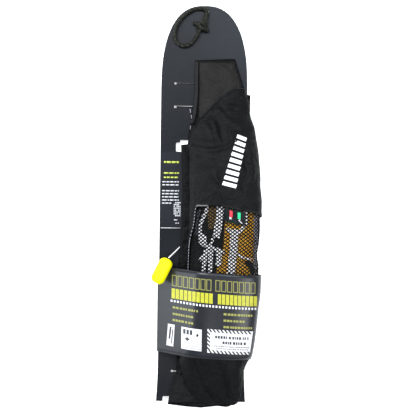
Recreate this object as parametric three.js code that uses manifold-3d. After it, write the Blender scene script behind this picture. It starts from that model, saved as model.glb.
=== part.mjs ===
// Inflatable waist belt pack, fastened to its display card and lying on its back.
// Millimetres. X runs across the card, Y along it to the hanging end, Z up from its back.
import * as THREE from 'three';
import { mergeVertices } from 'three/addons/utils/BufferGeometryUtils.js';
import Module from 'manifold-3d';

const wasm = await Module();
wasm.setup();

// Clearance between pieces that touch
const GAP = 0.3;

// Display card: a thin plastic plate with a domed top and a curled lower end
const CARD_LENGTH = 552;
const CARD_WIDTH = 120.4;
const CARD_THICKNESS = 1.0;
const DOME_LENGTH = 118;
const DOME_POWER = 2.5;
const FLARE = 1.8;
const CURL_LENGTH = 48;
const CURL_RISE = 6;
const LEG_WIDTH = 9.2;
const NOTCH_DEPTH = 6.4;
const SLIT_REACH = 40.4;
const SLIT_WIDTH = 1.4;
const SLIT_END_DIAMETER = 3.2;
const SLIT_PAIR = 32.6;
const UPPER_SLIT_FROM_TOP = 109;
const LOWER_SLIT_FROM_END = 40.7;
const WINDOW_WIDTH = 77;
const WINDOW_LENGTH = 77;
const WINDOW_TOP = 360.4;
const WINDOW_STEP_WIDTH = 66;
const WINDOW_STEP = 3.5;
const HANG_HOLE_DIAMETER = 6.2;
const HANG_HOLE_FROM_TOP = 6.6;
const HANG_HOLE_X = 2.6;

// Leaflet tucked under the pouch
const LEAFLET_WIDTH = 52;
const LEAFLET_LENGTH = 108.4;
const LEAFLET_THICKNESS = 0.8;
const LEAFLET_START = 239.1;
const LEAFLET_TO_BELT = 2.4;

// Waist belt, passed round the card through its slits and closed behind it
const BELT_WIDTH = 38;
const BELT_THICKNESS = 1.6;
const BELT_AXIS = 14;
const BUCKLE_LENGTH = 62;
const BUCKLE_WIDTH = 46;
const BUCKLE_THICKNESS = 4.0;
const BUCKLE_CORNER = 6;
const BUCKLE_SEAT = 9;

// Pouch: a back panel with a flange, padded ends, two covers and a net between them
const PACK_START = -6.9;
const PACK_LENGTH = 484.4;
const PACK_AXIS = 16;
const PACK_HALF = 48;
const PACK_DEPTH = 42;
const PANEL_THICKNESS = 1.8;
const COVER_THICKNESS = 1.6;
const LEFT_TUCK = 1.5;
const UPPER_PAD = 5;
const LOWER_PAD = 3;
const PAD_EDGE = 0.8;
const HEM_START = 271.8;
const HEM_SLANT = 21;
const HEM_SLANT_FROM = 0.41;
const HEM_FADE = 60;
const HEM_SPAN = 70;
const LOWER_HEM = 172;
const BINDING_WIDTH = 4.6;
const BINDING_HEIGHT = 3.2;
const BINDING_START = 0.812;

// Net and what lies folded behind it
const NET_THICKNESS = 1.2;
const NET_COLUMNS = 15;
const NET_OPENNESS = 0.78;
const NET_ROWS = 8;
const NET_TOP = 285;
const NET_FOOT = 160;
const NET_SHOWN = 187;
const STRAP_THICKNESS = 1.2;
const LEFT_STRAP_WIDTH = 4.2;
const CROSS_STRAP_WIDTH = 4.4;
const BAND_WIDTH = 11;
const LOW_LEFT_STRAP_WIDTH = 7.2;
const LOW_RIGHT_STRAP_WIDTH = 7.6;
const STRIPE_WIDTH = 13;
const FOLD_START = 62;
const FOLD_END = 358;
const FOLD_SPLIT = 26;
const FOLD_STEPS = 10;

// Status label, in front of the net
const LABEL_WIDTH = 28.6;
const LABEL_LENGTH = 18.6;
const LABEL_THICKNESS = 0.9;
const LABEL_LEFT = 28.9;
const MARK_WIDTH = 3.8;
const MARK_LENGTH = 8.4;
const MARK_THICKNESS = 0.5;
const MARK_DOWN = 0.13;

// Printed sleeve round card and pouch
const SLEEVE_THICKNESS = 0.8;
const SLEEVE_CLEARANCE = 0.9;
const SLEEVE_START = 66;
const SLEEVE_LENGTH = 117.5;
const SLEEVE_LOW_SLOPE = -0.044;
const SLEEVE_TOP_SLOPE = -0.0647;
const SLEEVE_STEPS = 36;

// Cords and toggle
const HANG_CORD_DIAMETER = 5.4;
const KNOT_DIAMETER = 10;
const KNOT_PLACE = [-4.8, 522.4];
const PULL_CORD_DIAMETER = 1.9;
const TOGGLE_LENGTH = 37;
const TOGGLE_WIDTH = 19;
const TOGGLE_THICKNESS = 9;
const TOGGLE_CORNER = 7.6;
const TOGGLE_ROUNDING = 2.4;
const TOGGLE_TURN = THREE.MathUtils.degToRad(-26.5);
const TOGGLE_TILT = THREE.MathUtils.degToRad(-28);
const TOGGLE_PITCH = THREE.MathUtils.degToRad(-10);
const TOGGLE_X = -55.2;
const TOGGLE_Y = 181.9;

// Levels above the card's back
const CARD_TOP = CARD_THICKNESS;
const PANEL_BACK = CARD_TOP + GAP + Math.max(BELT_THICKNESS, PULL_CORD_DIAMETER) + GAP;
const PANEL_TOP = PANEL_BACK + PANEL_THICKNESS;
const BELT_BACK = -GAP - BELT_THICKNESS;
const SLEEVE_BACK = BELT_BACK - GAP;
const LOWEST = SLEEVE_BACK - SLEEVE_THICKNESS;

// Slit opened where the belt turns round the card's edge
const OPEN_SLIT = CARD_THICKNESS / 2 + BELT_THICKNESS + 3 * GAP;

// Depths below the covers' outer face
const NET_INSET = COVER_THICKNESS + 3 * GAP;
const STRAP_INSET = NET_INSET + NET_THICKNESS + 1.5 * GAP;
const FOLD_INSET = STRAP_INSET + STRAP_THICKNESS + GAP;

// Outer form of the pouch, row by row from its lower end to its upper end.
// along: share of PACK_LENGTH. left, right and foot: shares of PACK_HALF from the pouch's axis, to the
// left side, the right bulge and the right foot. crown: share of PACK_DEPTH. box: squareness of the crown.
const FORM = [
  { along: 0.0095, left: 0.0, right: 0.625, foot: 0.562, crown: 0.145, box: 1.7 },
  { along: 0.0153, left: 0.25, right: 0.719, foot: 0.625, crown: 0.165, box: 1.7 },
  { along: 0.0287, left: 0.492, right: 0.792, foot: 0.688, crown: 0.222, box: 1.8 },
  { along: 0.0483, left: 0.667, right: 0.833, foot: 0.729, crown: 0.315, box: 1.9 },
  { along: 0.0762, left: 0.785, right: 0.871, foot: 0.75, crown: 0.46, box: 2.0 },
  { along: 0.1051, left: 0.875, right: 0.906, foot: 0.771, crown: 0.605, box: 2.1 },
  { along: 0.1299, left: 0.929, right: 0.979, foot: 0.792, crown: 0.719, box: 2.2 },
  { along: 0.1505, left: 0.927, right: 1.088, foot: 0.792, crown: 0.79, box: 2.3 },
  { along: 0.2124, left: 0.854, right: 1.188, foot: 0.792, crown: 0.886, box: 2.4 },
  { along: 0.2826, left: 0.781, right: 1.254, foot: 0.792, crown: 0.933, box: 2.5 },
  { along: 0.3404, left: 0.74, right: 1.317, foot: 0.792, crown: 0.96, box: 2.6 },
  { along: 0.4065, left: 0.725, right: 1.329, foot: 0.792, crown: 0.974, box: 2.6 },
  { along: 0.4395, left: 0.721, right: 1.283, foot: 0.792, crown: 0.981, box: 2.6 },
  { along: 0.4808, left: 0.721, right: 1.338, foot: 0.792, crown: 0.981, box: 2.6 },
  { along: 0.5469, left: 0.713, right: 1.352, foot: 0.792, crown: 0.976, box: 2.6 },
  { along: 0.6026, left: 0.713, right: 1.338, foot: 0.792, crown: 0.96, box: 2.6 },
  { along: 0.679, left: 0.729, right: 1.292, foot: 0.792, crown: 0.902, box: 2.5 },
  { along: 0.7223, left: 0.74, right: 1.244, foot: 0.792, crown: 0.85, box: 2.4 },
  { along: 0.7636, left: 0.737, right: 1.181, foot: 0.802, crown: 0.755, box: 2.3 },
  { along: 0.7946, left: 0.656, right: 1.131, foot: 0.833, crown: 0.655, box: 2.1 },
  { along: 0.8214, left: 0.427, right: 1.054, foot: 0.854, crown: 0.54, box: 2.0 },
  { along: 0.84, left: 0.244, right: 1.004, foot: 0.865, crown: 0.46, box: 1.9 },
  { along: 0.864, left: 0.075, right: 0.958, foot: 0.865, crown: 0.362, box: 1.8 },
  { along: 0.8875, left: -0.183, right: 0.917, foot: 0.854, crown: 0.275, box: 1.7 },
  { along: 0.9019, left: -0.354, right: 0.885, foot: 0.833, crown: 0.228, box: 1.7 },
  { along: 0.9116, left: -0.562, right: 0.854, foot: 0.792, crown: 0.205, box: 1.7 },
];

// Outline of the back panel: its flange steps in on the left and on the right near the upper end.
const PANEL = [
  { along: 0.0, left: 1.283, right: 0.646 },
  { along: 0.0244, left: 1.242, right: 0.767 },
  { along: 0.0452, left: 1.192, right: 0.821 },
  { along: 0.0741, left: 1.108, right: 0.862 },
  { along: 0.0972, left: 1.052, right: 0.858 },
  { along: 0.1464, left: 1.058, right: 0.927 },
  { along: 0.2207, left: 1.05, right: 0.958 },
  { along: 0.3962, left: 1.033, right: 0.99 },
  { along: 0.4622, left: 0.983, right: 1.0 },
  { along: 0.5097, left: 0.933, right: 1.0 },
  { along: 0.6501, left: 0.933, right: 1.0 },
  { along: 0.7512, left: 0.99, right: 1.0 },
  { along: 0.7533, left: 0.792, right: 1.0 },
  { along: 0.7925, left: 0.763, right: 1.0 },
  { along: 0.8421, left: 0.658, right: 1.004 },
  { along: 0.8957, left: 0.612, right: 1.008 },
  { along: 0.8978, left: 0.61, right: 0.867 },
  { along: 0.9158, left: 0.608, right: 0.819 },
  { along: 1.0, left: 0.61, right: 0.548 },
];

// Rise of the panel's lower edge above its lowest point, and drop of its upper edge at its left corner:
// shares of PACK_LENGTH, the first at shares of the panel's width. Each fades out along the panel.
const LOWER_EDGE = [
  { along: 0.0, rise: 0.0078 },
  { along: 0.3, rise: 0.0022 },
  { along: 0.5, rise: 0.0 },
  { along: 0.75, rise: 0.005 },
  { along: 0.9, rise: 0.002 },
  { along: 1.0, rise: 0.0125 },
];
const LOWER_EDGE_FADE = 0.1;
const UPPER_EDGE_DROP = 0.0056;
const UPPER_EDGE_FADE = 0.08;

// Padded ends: along shares of PACK_LENGTH and sides as shares of PACK_HALF from the pouch's axis
const UPPER_PAD_FORM = [
  { along: 0.768, left: 0.5, right: 0.71 },
  { along: 0.9158, left: 0.5, right: 0.735 },
  { along: 0.992, left: 0.5, right: 0.53 },
];
const LOWER_PAD_FORM = [
  { along: 0.012, left: 1.21, right: 0.63 },
  { along: 0.0452, left: 1.13, right: 0.775 },
  { along: 0.0972, left: 0.99, right: 0.8 },
  { along: 0.14, left: 0.97, right: 0.82 },
];

// Straps behind the net, seen from above. The points are shares of PACK_HALF from the pouch's axis, and
// shares of the net's shown height down from the cover's hem.
const STRAPS = [
  {
    name: 'strap_left',
    width: LEFT_STRAP_WIDTH,
    points: [[-0.262, 0.025], [-0.4, 0.196], [-0.485, 0.368], [-0.46, 0.556]],
  },
  {
    name: 'strap_band',
    width: BAND_WIDTH,
    points: [[0.095, 0.031], [0.08, 0.31], [0.045, 0.539]],
  },
  {
    name: 'strap_cross',
    width: CROSS_STRAP_WIDTH,
    points: [[-0.43, 0.647], [-0.2, 0.699], [0.06, 0.733], [0.17, 0.742]],
  },
  {
    name: 'strap_low_left',
    width: LOW_LEFT_STRAP_WIDTH,
    points: [[-0.23, 0.793], [-0.29, 0.945], [-0.33, 1.127]],
  },
  {
    name: 'strap_low_right',
    width: LOW_RIGHT_STRAP_WIDTH,
    points: [[-0.045, 0.793], [-0.06, 0.945], [-0.08, 1.127]],
  },
];
const STRIPE = {
  name: 'bladder_stripe',
  width: STRIPE_WIDTH,
  points: [[0.56, 0.299], [0.545, 0.659], [0.5, 0.887], [0.47, 1.127]],
};

// Routes of the two cords
const HANG_ROUTE = [
  [-0.4, 546.6, 4.0], [-9.5, 547.9, 4.0], [-16.5, 545.9, 4.0], [-23.0, 542.2, 4.0], [-29.0, 537.4, 4.0],
  [-34.4, 531.4, 4.0], [-38.6, 524.4, 4.0], [-41.2, 516.6, 4.0], [-41.8, 508.6, 4.0], [-39.5, 501.2, 4.0],
  [-34.0, 496.3, 4.0], [-26.8, 495.3, 4.0], [-20.0, 498.2, 4.0], [-14.8, 503.4, 4.0], [-10.7, 509.8, 4.0],
  [-7.9, 516.4, 4.1],
];
const NECK_ROUTE = [
  [-3.6, 526.0, 4.4], [-1.6, 532.0, 4.2], [0.2, 537.5, 4.0], [1.7, 542.0, 4.0], [2.6, 545.4, 4.0],
];
const KNOT_ENDS = [
  [[-5.0, 2.4, 4.2], [-10.4, 4.6, 4.0]],
  [[4.0, -2.4, 4.3], [8.2, -5.6, 4.0]],
];
const PULL_ROUTE = [
  [-12.0, 224.0, 2.25], [-19.0, 221.5, 2.25], [-26.0, 217.9, 2.25], [-31.7, 213.7, 2.4],
  [-36.0, 209.6, 3.6], [-40.0, 205.7, 5.8], [-43.6, 202.2, 8.2], [-46.3, 199.6, 10.0],
];

// Straight or smooth value of one column of a table at a share along it
function at(table, along, column, smooth = false) {
  const last = table.length - 1;
  let i = 0;
  while (i < last - 1 && along > table[i + 1].along) i += 1;
  const a = table[i];
  const b = table[i + 1];
  const run = b.along - a.along;
  const t = THREE.MathUtils.clamp((along - a.along) / run, 0, 1);
  const slope = (k) => {
    const before = (table[k][column] - table[k - 1][column]) / (table[k].along - table[k - 1].along);
    const after = (table[k + 1][column] - table[k][column]) / (table[k + 1].along - table[k].along);
    return before * after > 0 ? (2 * before * after) / (before + after) : 0;
  };
  if (!smooth) return THREE.MathUtils.lerp(a[column], b[column], t);
  const chord = (b[column] - a[column]) / run;
  const m0 = (i > 0 ? slope(i) : chord) * run;
  const m1 = (i + 1 < last ? slope(i + 1) : chord) * run;
  const d = b[column] - a[column];
  return a[column] + m0 * t + (3 * d - 2 * m0 - m1) * t * t + (m0 + m1 - 2 * d) * t * t * t;
}

const alongPack = (y) => (y - PACK_START) / PACK_LENGTH;
const packY = (along) => PACK_START + PACK_LENGTH * along;
const curl = (y) => CURL_RISE * Math.max(0, (CURL_LENGTH - y) / CURL_LENGTH) ** 2;
const settled = (x, y, z) => [x, y, z + curl(y)];

// Closed solid from its triangles, with the faces turned outwards
function closed(triangles) {
  let volume = 0;
  for (const [a, b, c] of triangles) {
    volume += a[0] * (b[1] * c[2] - b[2] * c[1]);
    volume += a[1] * (b[2] * c[0] - b[0] * c[2]);
    volume += a[2] * (b[0] * c[1] - b[1] * c[0]);
  }
  const flat = triangles.flatMap(([a, b, c]) => (volume > 0 ? [...a, ...b, ...c] : [...a, ...c, ...b]));
  const geometry = new THREE.BufferGeometry();
  geometry.setAttribute('position', new THREE.Float32BufferAttribute(flat, 3));
  return geometry;
}

function quad(a, b, c, d) {
  return [[a, b, c], [a, c, d]];
}

const between = (a, b, t) => a.map((value, k) => value + (b[k] - value) * t);

// Plate between two facing grids. A pierced cell keeps a rim round a diamond gap.
function slab(columns, rows, upper, lower, pierced = () => false) {
  const grid = (point) => Array.from({ length: rows + 1 }, (_, j) =>
    Array.from({ length: columns + 1 }, (_, i) => point(i / columns, j / rows)));
  const top = grid(upper);
  const bottom = grid(lower);
  const triangles = [];
  const diamond = (p, i, j) => {
    const corners = [p[j][i], p[j][i + 1], p[j + 1][i + 1], p[j + 1][i]];
    const centre = between(between(corners[0], corners[2], 0.5), between(corners[1], corners[3], 0.5), 0.5);
    const sides = corners.map((corner, k) => between(corner, corners[(k + 1) % 4], 0.5));
    return [corners, sides.map((side) => between(centre, side, NET_OPENNESS))];
  };
  for (let j = 0; j < rows; j += 1) {
    for (let i = 0; i < columns; i += 1) {
      const [t, tm] = diamond(top, i, j);
      const [b, bm] = diamond(bottom, i, j);
      if (!pierced(i, j)) {
        triangles.push(...quad(...t), ...quad(b[0], b[3], b[2], b[1]));
        continue;
      }
      for (let k = 0; k < 4; k += 1) {
        const n = (k + 1) % 4;
        triangles.push([t[k], t[n], tm[k]], [t[n], tm[n], tm[k]]);
        triangles.push([b[n], b[k], bm[k]], [b[n], bm[k], bm[n]]);
        triangles.push(...quad(tm[k], tm[n], bm[n], bm[k]));
      }
    }
  }
  for (let i = 0; i < columns; i += 1) {
    triangles.push(...quad(top[0][i + 1], top[0][i], bottom[0][i], bottom[0][i + 1]));
    triangles.push(...quad(top[rows][i], top[rows][i + 1], bottom[rows][i + 1], bottom[rows][i]));
  }
  for (let j = 0; j < rows; j += 1) {
    const last = columns;
    triangles.push(...quad(top[j + 1][last], top[j][last], bottom[j][last], bottom[j + 1][last]));
    triangles.push(...quad(top[j][0], top[j + 1][0], bottom[j + 1][0], bottom[j][0]));
  }
  return closed(triangles);
}

// Solid through a row of closed rings with as many points each, capped at both ends.
// The caps are flat in the plane of the two given axes.
function loft(rings, axes) {
  const triangles = [];
  for (let j = 0; j < rings.length - 1; j += 1) {
    rings[j].forEach((point, i) => {
      const next = (i + 1) % rings[j].length;
      triangles.push(...quad(point, rings[j][next], rings[j + 1][next], rings[j + 1][i]));
    });
  }
  const outline = (ring) => ring.map((p) => new THREE.Vector2(p[axes[0]], p[axes[1]]));
  const cap = (ring, side) => {
    const flat = outline(ring);
    const sense = Math.sign(THREE.ShapeUtils.area(flat)) * side;
    for (const face of THREE.ShapeUtils.triangulateShape(flat.map((p) => p.clone()), [])) {
      const forward = THREE.ShapeUtils.area(face.map((k) => flat[k])) * sense > 0;
      triangles.push((forward ? face : [...face].reverse()).map((k) => ring[k]));
    }
  };
  cap(rings[0], -1);
  cap(rings[rings.length - 1], 1);
  return closed(triangles);
}

// Closed band between an inner and an outer loop
function band(count, rows, inner, outer) {
  const grid = (point) => Array.from({ length: rows + 1 }, (_, j) =>
    Array.from({ length: count }, (_, i) => point(i, j / rows)));
  const inside = grid(inner);
  const outside = grid(outer);
  const triangles = [];
  for (let i = 0; i < count; i += 1) {
    const n = (i + 1) % count;
    for (let j = 0; j < rows; j += 1) {
      triangles.push(...quad(outside[j][i], outside[j][n], outside[j + 1][n], outside[j + 1][i]));
      triangles.push(...quad(inside[j][n], inside[j][i], inside[j + 1][i], inside[j + 1][n]));
    }
    triangles.push(...quad(outside[0][n], outside[0][i], inside[0][i], inside[0][n]));
    triangles.push(...quad(outside[rows][i], outside[rows][n], inside[rows][n], inside[rows][i]));
  }
  return closed(triangles);
}

function solidOf(geometry) {
  const bare = new THREE.BufferGeometry();
  bare.setAttribute('position', geometry.getAttribute('position').clone());
  if (geometry.index) bare.setIndex(geometry.index.clone());
  const merged = mergeVertices(bare, 1e-4);
  return new wasm.Manifold(new wasm.Mesh({
    numProp: 3,
    vertProperties: new Float32Array(merged.getAttribute('position').array),
    triVerts: new Uint32Array(merged.index.array),
  }));
}

function geometryOf(solid) {
  const mesh = solid.getMesh();
  const geometry = new THREE.BufferGeometry();
  geometry.setAttribute('position', new THREE.BufferAttribute(new Float32Array(mesh.vertProperties), 3));
  geometry.setIndex(new THREE.BufferAttribute(new Uint32Array(mesh.triVerts), 1));
  return geometry;
}

// Rectangle with round corners
function plateShape(x, y, width, length, corner) {
  const shape = new THREE.Shape();
  shape.moveTo(x + corner, y);
  shape.lineTo(x + width - corner, y);
  shape.absarc(x + width - corner, y + corner, corner, -Math.PI / 2, 0);
  shape.lineTo(x + width, y + length - corner);
  shape.absarc(x + width - corner, y + length - corner, corner, 0, Math.PI / 2);
  shape.lineTo(x + corner, y + length);
  shape.absarc(x + corner, y + length - corner, corner, Math.PI / 2, Math.PI);
  shape.lineTo(x, y + corner);
  shape.absarc(x + corner, y + corner, corner, Math.PI, 1.5 * Math.PI);
  return shape;
}

// Rounded plate with its corner at x, y and its back at z
function plate(x, y, width, length, z, thickness, corner) {
  const shape = plateShape(x, y, width, length, corner);
  const settings = { depth: thickness, bevelEnabled: false, curveSegments: 4 };
  return new THREE.ExtrudeGeometry(shape, settings).translate(0, 0, z);
}

function drill(x, y, diameter, z, depth) {
  const bit = new THREE.CylinderGeometry(diameter / 2, diameter / 2, depth, 14);
  return bit.rotateX(Math.PI / 2).translate(x, y, z + depth / 2);
}

function block(x, y, z, width, length, height) {
  const box = new THREE.BoxGeometry(width, length, height);
  return box.translate(x + width / 2, y + length / 2, z + height / 2);
}

const UPPER_SLIT = CARD_LENGTH - UPPER_SLIT_FROM_TOP;
const LOWER_SLIT = LOWER_SLIT_FROM_END;

function displayCard() {
  const half = CARD_WIDTH / 2;
  const shape = new THREE.Shape();
  shape.moveTo(-half, CURL_LENGTH);
  shape.lineTo(half, CURL_LENGTH);
  const steps = 32;
  for (let k = 0; k <= steps; k += 1) {
    const angle = (Math.PI * k) / steps;
    const across = Math.sign(Math.cos(angle)) * Math.abs(Math.cos(angle)) ** (2 / DOME_POWER);
    shape.lineTo(half * across, CARD_LENGTH - DOME_LENGTH * (1 - Math.sin(angle) ** (2 / DOME_POWER)));
  }
  const flat = solidOf(new THREE.ExtrudeGeometry(shape, { depth: CARD_THICKNESS, bevelEnabled: false }));
  const lowerEnd = (z) => (u, v) => {
    const y = v * (CURL_LENGTH + 1);
    const reach = half + FLARE * Math.max(0, 1 - y / CURL_LENGTH) ** 1.5;
    return settled((2 * u - 1) * reach, y, z);
  };
  let card = flat.add(solidOf(slab(2, 10, lowerEnd(CARD_THICKNESS), lowerEnd(0))));
  const through = CARD_THICKNESS + CURL_RISE + 4;
  const cut = (geometry) => {
    card = card.subtract(solidOf(geometry));
  };
  const notch = 2 * (half + FLARE - LEG_WIDTH);
  cut(plate(-notch / 2, -NOTCH_DEPTH, notch, 2 * NOTCH_DEPTH, -2, through, 2));
  for (const y of [UPPER_SLIT, UPPER_SLIT - SLIT_PAIR, LOWER_SLIT + SLIT_PAIR, LOWER_SLIT]) {
    cut(block(-SLIT_REACH, y - SLIT_WIDTH / 2, -2, 2 * SLIT_REACH, SLIT_WIDTH, through));
    for (const side of [-1, 1]) cut(drill(side * SLIT_REACH, y, SLIT_END_DIAMETER, -2, through));
  }
  // The slit below the upper one gapes a little. The outer two open where the belt turns through them.
  cut(block(-SLIT_REACH, UPPER_SLIT - SLIT_PAIR - SLIT_WIDTH, -2, SLIT_REACH, 2 * SLIT_WIDTH, through));
  const beltLeft = BELT_AXIS - BELT_WIDTH / 2 - 2 * GAP;
  cut(block(beltLeft, UPPER_SLIT - SLIT_WIDTH / 2, -2, BELT_WIDTH + 4 * GAP, OPEN_SLIT, through));
  const openFrom = LOWER_SLIT + SLIT_WIDTH / 2 - OPEN_SLIT;
  cut(block(beltLeft, openFrom, -2, BELT_WIDTH + 4 * GAP, OPEN_SLIT, through));
  const stepStart = WINDOW_TOP - WINDOW_STEP;
  cut(plate(-WINDOW_WIDTH / 2, WINDOW_TOP - WINDOW_LENGTH, WINDOW_WIDTH, WINDOW_LENGTH, -2, through, 2));
  cut(plate(-WINDOW_STEP_WIDTH / 2, stepStart, WINDOW_STEP_WIDTH, 2 * WINDOW_STEP, -2, through, 1));
  cut(drill(HANG_HOLE_X, CARD_LENGTH - HANG_HOLE_FROM_TOP, HANG_HOLE_DIAMETER, -2, through));
  return geometryOf(card);
}

function leaflet() {
  const left = BELT_AXIS - BELT_WIDTH / 2 - LEAFLET_TO_BELT - LEAFLET_WIDTH;
  return plate(left, LEAFLET_START, LEAFLET_WIDTH, LEAFLET_LENGTH, CARD_TOP + GAP, LEAFLET_THICKNESS, 1.5);
}

// Side of the back panel at a share of its length
function panelSide(side, along) {
  return PACK_AXIS + (side === 'left' ? -1 : 1) * PACK_HALF * at(PANEL, along, side);
}

function panelPoint(z) {
  const rows = PANEL.map((row) => row.along);
  return (u, v) => {
    const place = v * (rows.length - 1);
    const row = Math.min(Math.floor(place), rows.length - 2);
    const along = rows[row] + (rows[row + 1] - rows[row]) * (place - row);
    const x = THREE.MathUtils.lerp(panelSide('left', along), panelSide('right', along), u);
    const rise = at(LOWER_EDGE, u, 'rise') * Math.max(0, 1 - along / LOWER_EDGE_FADE);
    const drop = UPPER_EDGE_DROP * (1 - u) * Math.max(0, 1 - (1 - along) / UPPER_EDGE_FADE);
    return settled(x, PACK_START + PACK_LENGTH * (along + rise - drop), z);
  };
}

function backPanel() {
  return slab(6, PANEL.length - 1, panelPoint(PANEL_TOP), panelPoint(PANEL_BACK));
}

// Sides of a padded end at a share of the pouch's length
function padSides(form, along) {
  const left = PACK_AXIS - PACK_HALF * at(form, along, 'left');
  return [left, PACK_AXIS + PACK_HALF * at(form, along, 'right')];
}

// Height of a padded end at a share from -1 at one side to 1 at the other
const pillow = (share, height) => PAD_EDGE + (height - PAD_EDGE) * Math.max(0, 1 - share ** 4);

function pad(form, height) {
  const first = form[0].along;
  const last = form[form.length - 1].along;
  const point = (raised) => (u, v) => {
    const along = first + (last - first) * v;
    const [left, right] = padSides(form, along);
    const top = raised ? Math.min(pillow(2 * u - 1, height), pillow(2 * v - 1, height)) : 0;
    return settled(left + (right - left) * u, packY(along), PANEL_TOP + GAP + top);
  };
  return slab(8, 6, point(true), point(false));
}

// What the covers stand on: the panel, or a padded end
function floorAt(x, y) {
  const along = alongPack(y);
  for (const [form, height] of [[UPPER_PAD_FORM, UPPER_PAD], [LOWER_PAD_FORM, LOWER_PAD]]) {
    if (along < form[0].along - 0.004 || along > form[form.length - 1].along + 0.004) continue;
    const [left, right] = padSides(form, along);
    const share = (0.95 * (2 * x - left - right)) / (right - left);
    if (Math.abs(share) < 1) return PANEL_TOP + 2.5 * GAP + pillow(share, height);
  }
  return PANEL_TOP + GAP;
}

// Pouch section at y, inset from the covers' outer face
function formAt(y, inset) {
  const along = alongPack(y);
  const value = (column) => at(FORM, along, column, true);
  const left = PACK_AXIS - PACK_HALF * value('left');
  const right = PACK_AXIS + PACK_HALF * value('right');
  const foot = PACK_AXIS + PACK_HALF * value('foot');
  return {
    left: left + inset,
    leftFoot: left + inset + LEFT_TUCK,
    right: right - inset,
    foot: foot - LEFT_TUCK * Math.min(1, inset),
    middle: (left + right) / 2,
    crown: PANEL_TOP + PACK_DEPTH * value('crown') - inset,
    box: value('box'),
    leftFloor: floorAt(left + LEFT_TUCK, y),
    rightFloor: floorAt(foot, y) + inset,
  };
}

const LEFT_BULGE = 0.34;
const RIGHT_BULGE = 0.46;

// Point of the section: turn runs from 0 at the left foot, over the crown at 2, to 4 at the right foot
function sectionPoint(turn, y, inset) {
  const f = formAt(y, inset);
  const leftBulge = f.leftFloor + (f.crown - f.leftFloor) * LEFT_BULGE;
  const rightBulge = f.rightFloor + (f.crown - f.rightFloor) * RIGHT_BULGE;
  const quarter = Math.min(Math.floor(turn), 3);
  const angle = (turn - quarter) * (Math.PI / 2);
  const power = 2 / f.box;
  const [sin, cos] = [Math.sin(angle), Math.cos(angle)];
  const { lerp } = THREE.MathUtils;
  if (quarter === 0) return [lerp(f.leftFoot, f.left, sin), lerp(leftBulge, f.leftFloor, cos)];
  if (quarter === 1) return [lerp(f.middle, f.left, cos ** power), lerp(leftBulge, f.crown, sin ** power)];
  if (quarter === 2) return [lerp(f.middle, f.right, sin ** power), lerp(rightBulge, f.crown, cos ** power)];
  return [lerp(f.foot, f.right, cos), lerp(rightBulge, f.rightFloor, sin)];
}

const TURN_STEPS = 64;

// Turns that part the section at y into equal lengths
function evenTurns(y, count) {
  const lengths = [0];
  let before = sectionPoint(0, y, 0);
  for (let k = 1; k <= TURN_STEPS; k += 1) {
    const here = sectionPoint((4 * k) / TURN_STEPS, y, 0);
    lengths.push(lengths[k - 1] + Math.hypot(here[0] - before[0], here[1] - before[1]));
    before = here;
  }
  return Array.from({ length: count + 1 }, (_, i) => {
    const goal = (lengths[TURN_STEPS] * i) / count;
    let k = 1;
    while (k < TURN_STEPS && lengths[k] < goal) k += 1;
    const t = (goal - lengths[k - 1]) / (lengths[k] - lengths[k - 1]);
    return (4 * (k - 1 + THREE.MathUtils.clamp(t, 0, 1))) / TURN_STEPS;
  });
}

// Curved wall over the pouch. place gives y for a row and a share across.
function wall(columns, ys, place, outset, thickness, pierced) {
  const rows = ys.length - 1;
  const turns = ys.map((y) => evenTurns(y, columns));
  const point = (inset) => (u, v) => {
    const j = Math.round(v * rows);
    const i = Math.round(u * columns);
    const y = place(ys[j], u);
    const [x, z] = sectionPoint(turns[j][i], y, inset);
    return settled(x, y, z);
  };
  return slab(columns, rows, point(outset), point(outset + thickness), pierced);
}

function spread(from, to, count) {
  return Array.from({ length: count + 1 }, (_, k) => from + ((to - from) * k) / count);
}

function hemDrop(y, u) {
  const near = THREE.MathUtils.clamp(1 - (y - HEM_START) / HEM_FADE, 0, 1);
  return y - HEM_SLANT * near * near * Math.max(0, (u - HEM_SLANT_FROM) / (1 - HEM_SLANT_FROM));
}

function coverUpper() {
  const end = FORM.filter((row) => packY(row.along) > HEM_START + HEM_SPAN).map((row) => packY(row.along));
  const ys = [...spread(HEM_START, end[0], 5).slice(0, -1), ...end];
  return wall(18, ys, hemDrop, 0, COVER_THICKNESS);
}

function coverLower() {
  const end = FORM.filter((row) => packY(row.along) < SLEEVE_START + 2).map((row) => packY(row.along));
  const sleeved = FORM.map((row) => packY(row.along));
  const ys = [...end, ...sleeved.filter((y) => y > end[end.length - 1] && y < LOWER_HEM - 5), LOWER_HEM];
  return wall(18, ys, (y) => y, 0, COVER_THICKNESS);
}

function meshPanel() {
  const ys = [
    ...spread(NET_FOOT, NET_SHOWN, 2).slice(0, -1),
    ...spread(NET_SHOWN, HEM_START, NET_ROWS),
    ...spread(HEM_START, NET_TOP, 1).slice(1),
  ];
  const pierced = (i, j) => i > 0 && i <= NET_COLUMNS && j > 1 && j < 2 + NET_ROWS;
  return wall(NET_COLUMNS + 2, ys, (y) => y, NET_INSET, NET_THICKNESS, pierced);
}

// Height of the pouch's upper side at x, y, inset from the covers' outer face
function heightAt(x, y, inset) {
  const f = formAt(y, inset);
  const onLeft = x < f.middle;
  const foot = onLeft ? f.leftFloor : f.rightFloor;
  const bulge = foot + (f.crown - foot) * (onLeft ? LEFT_BULGE : RIGHT_BULGE);
  const share = THREE.MathUtils.clamp((x - f.middle) / ((onLeft ? f.left : f.right) - f.middle), 0, 1);
  return bulge + (f.crown - bulge) * (1 - share ** f.box) ** (1 / f.box);
}

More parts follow.
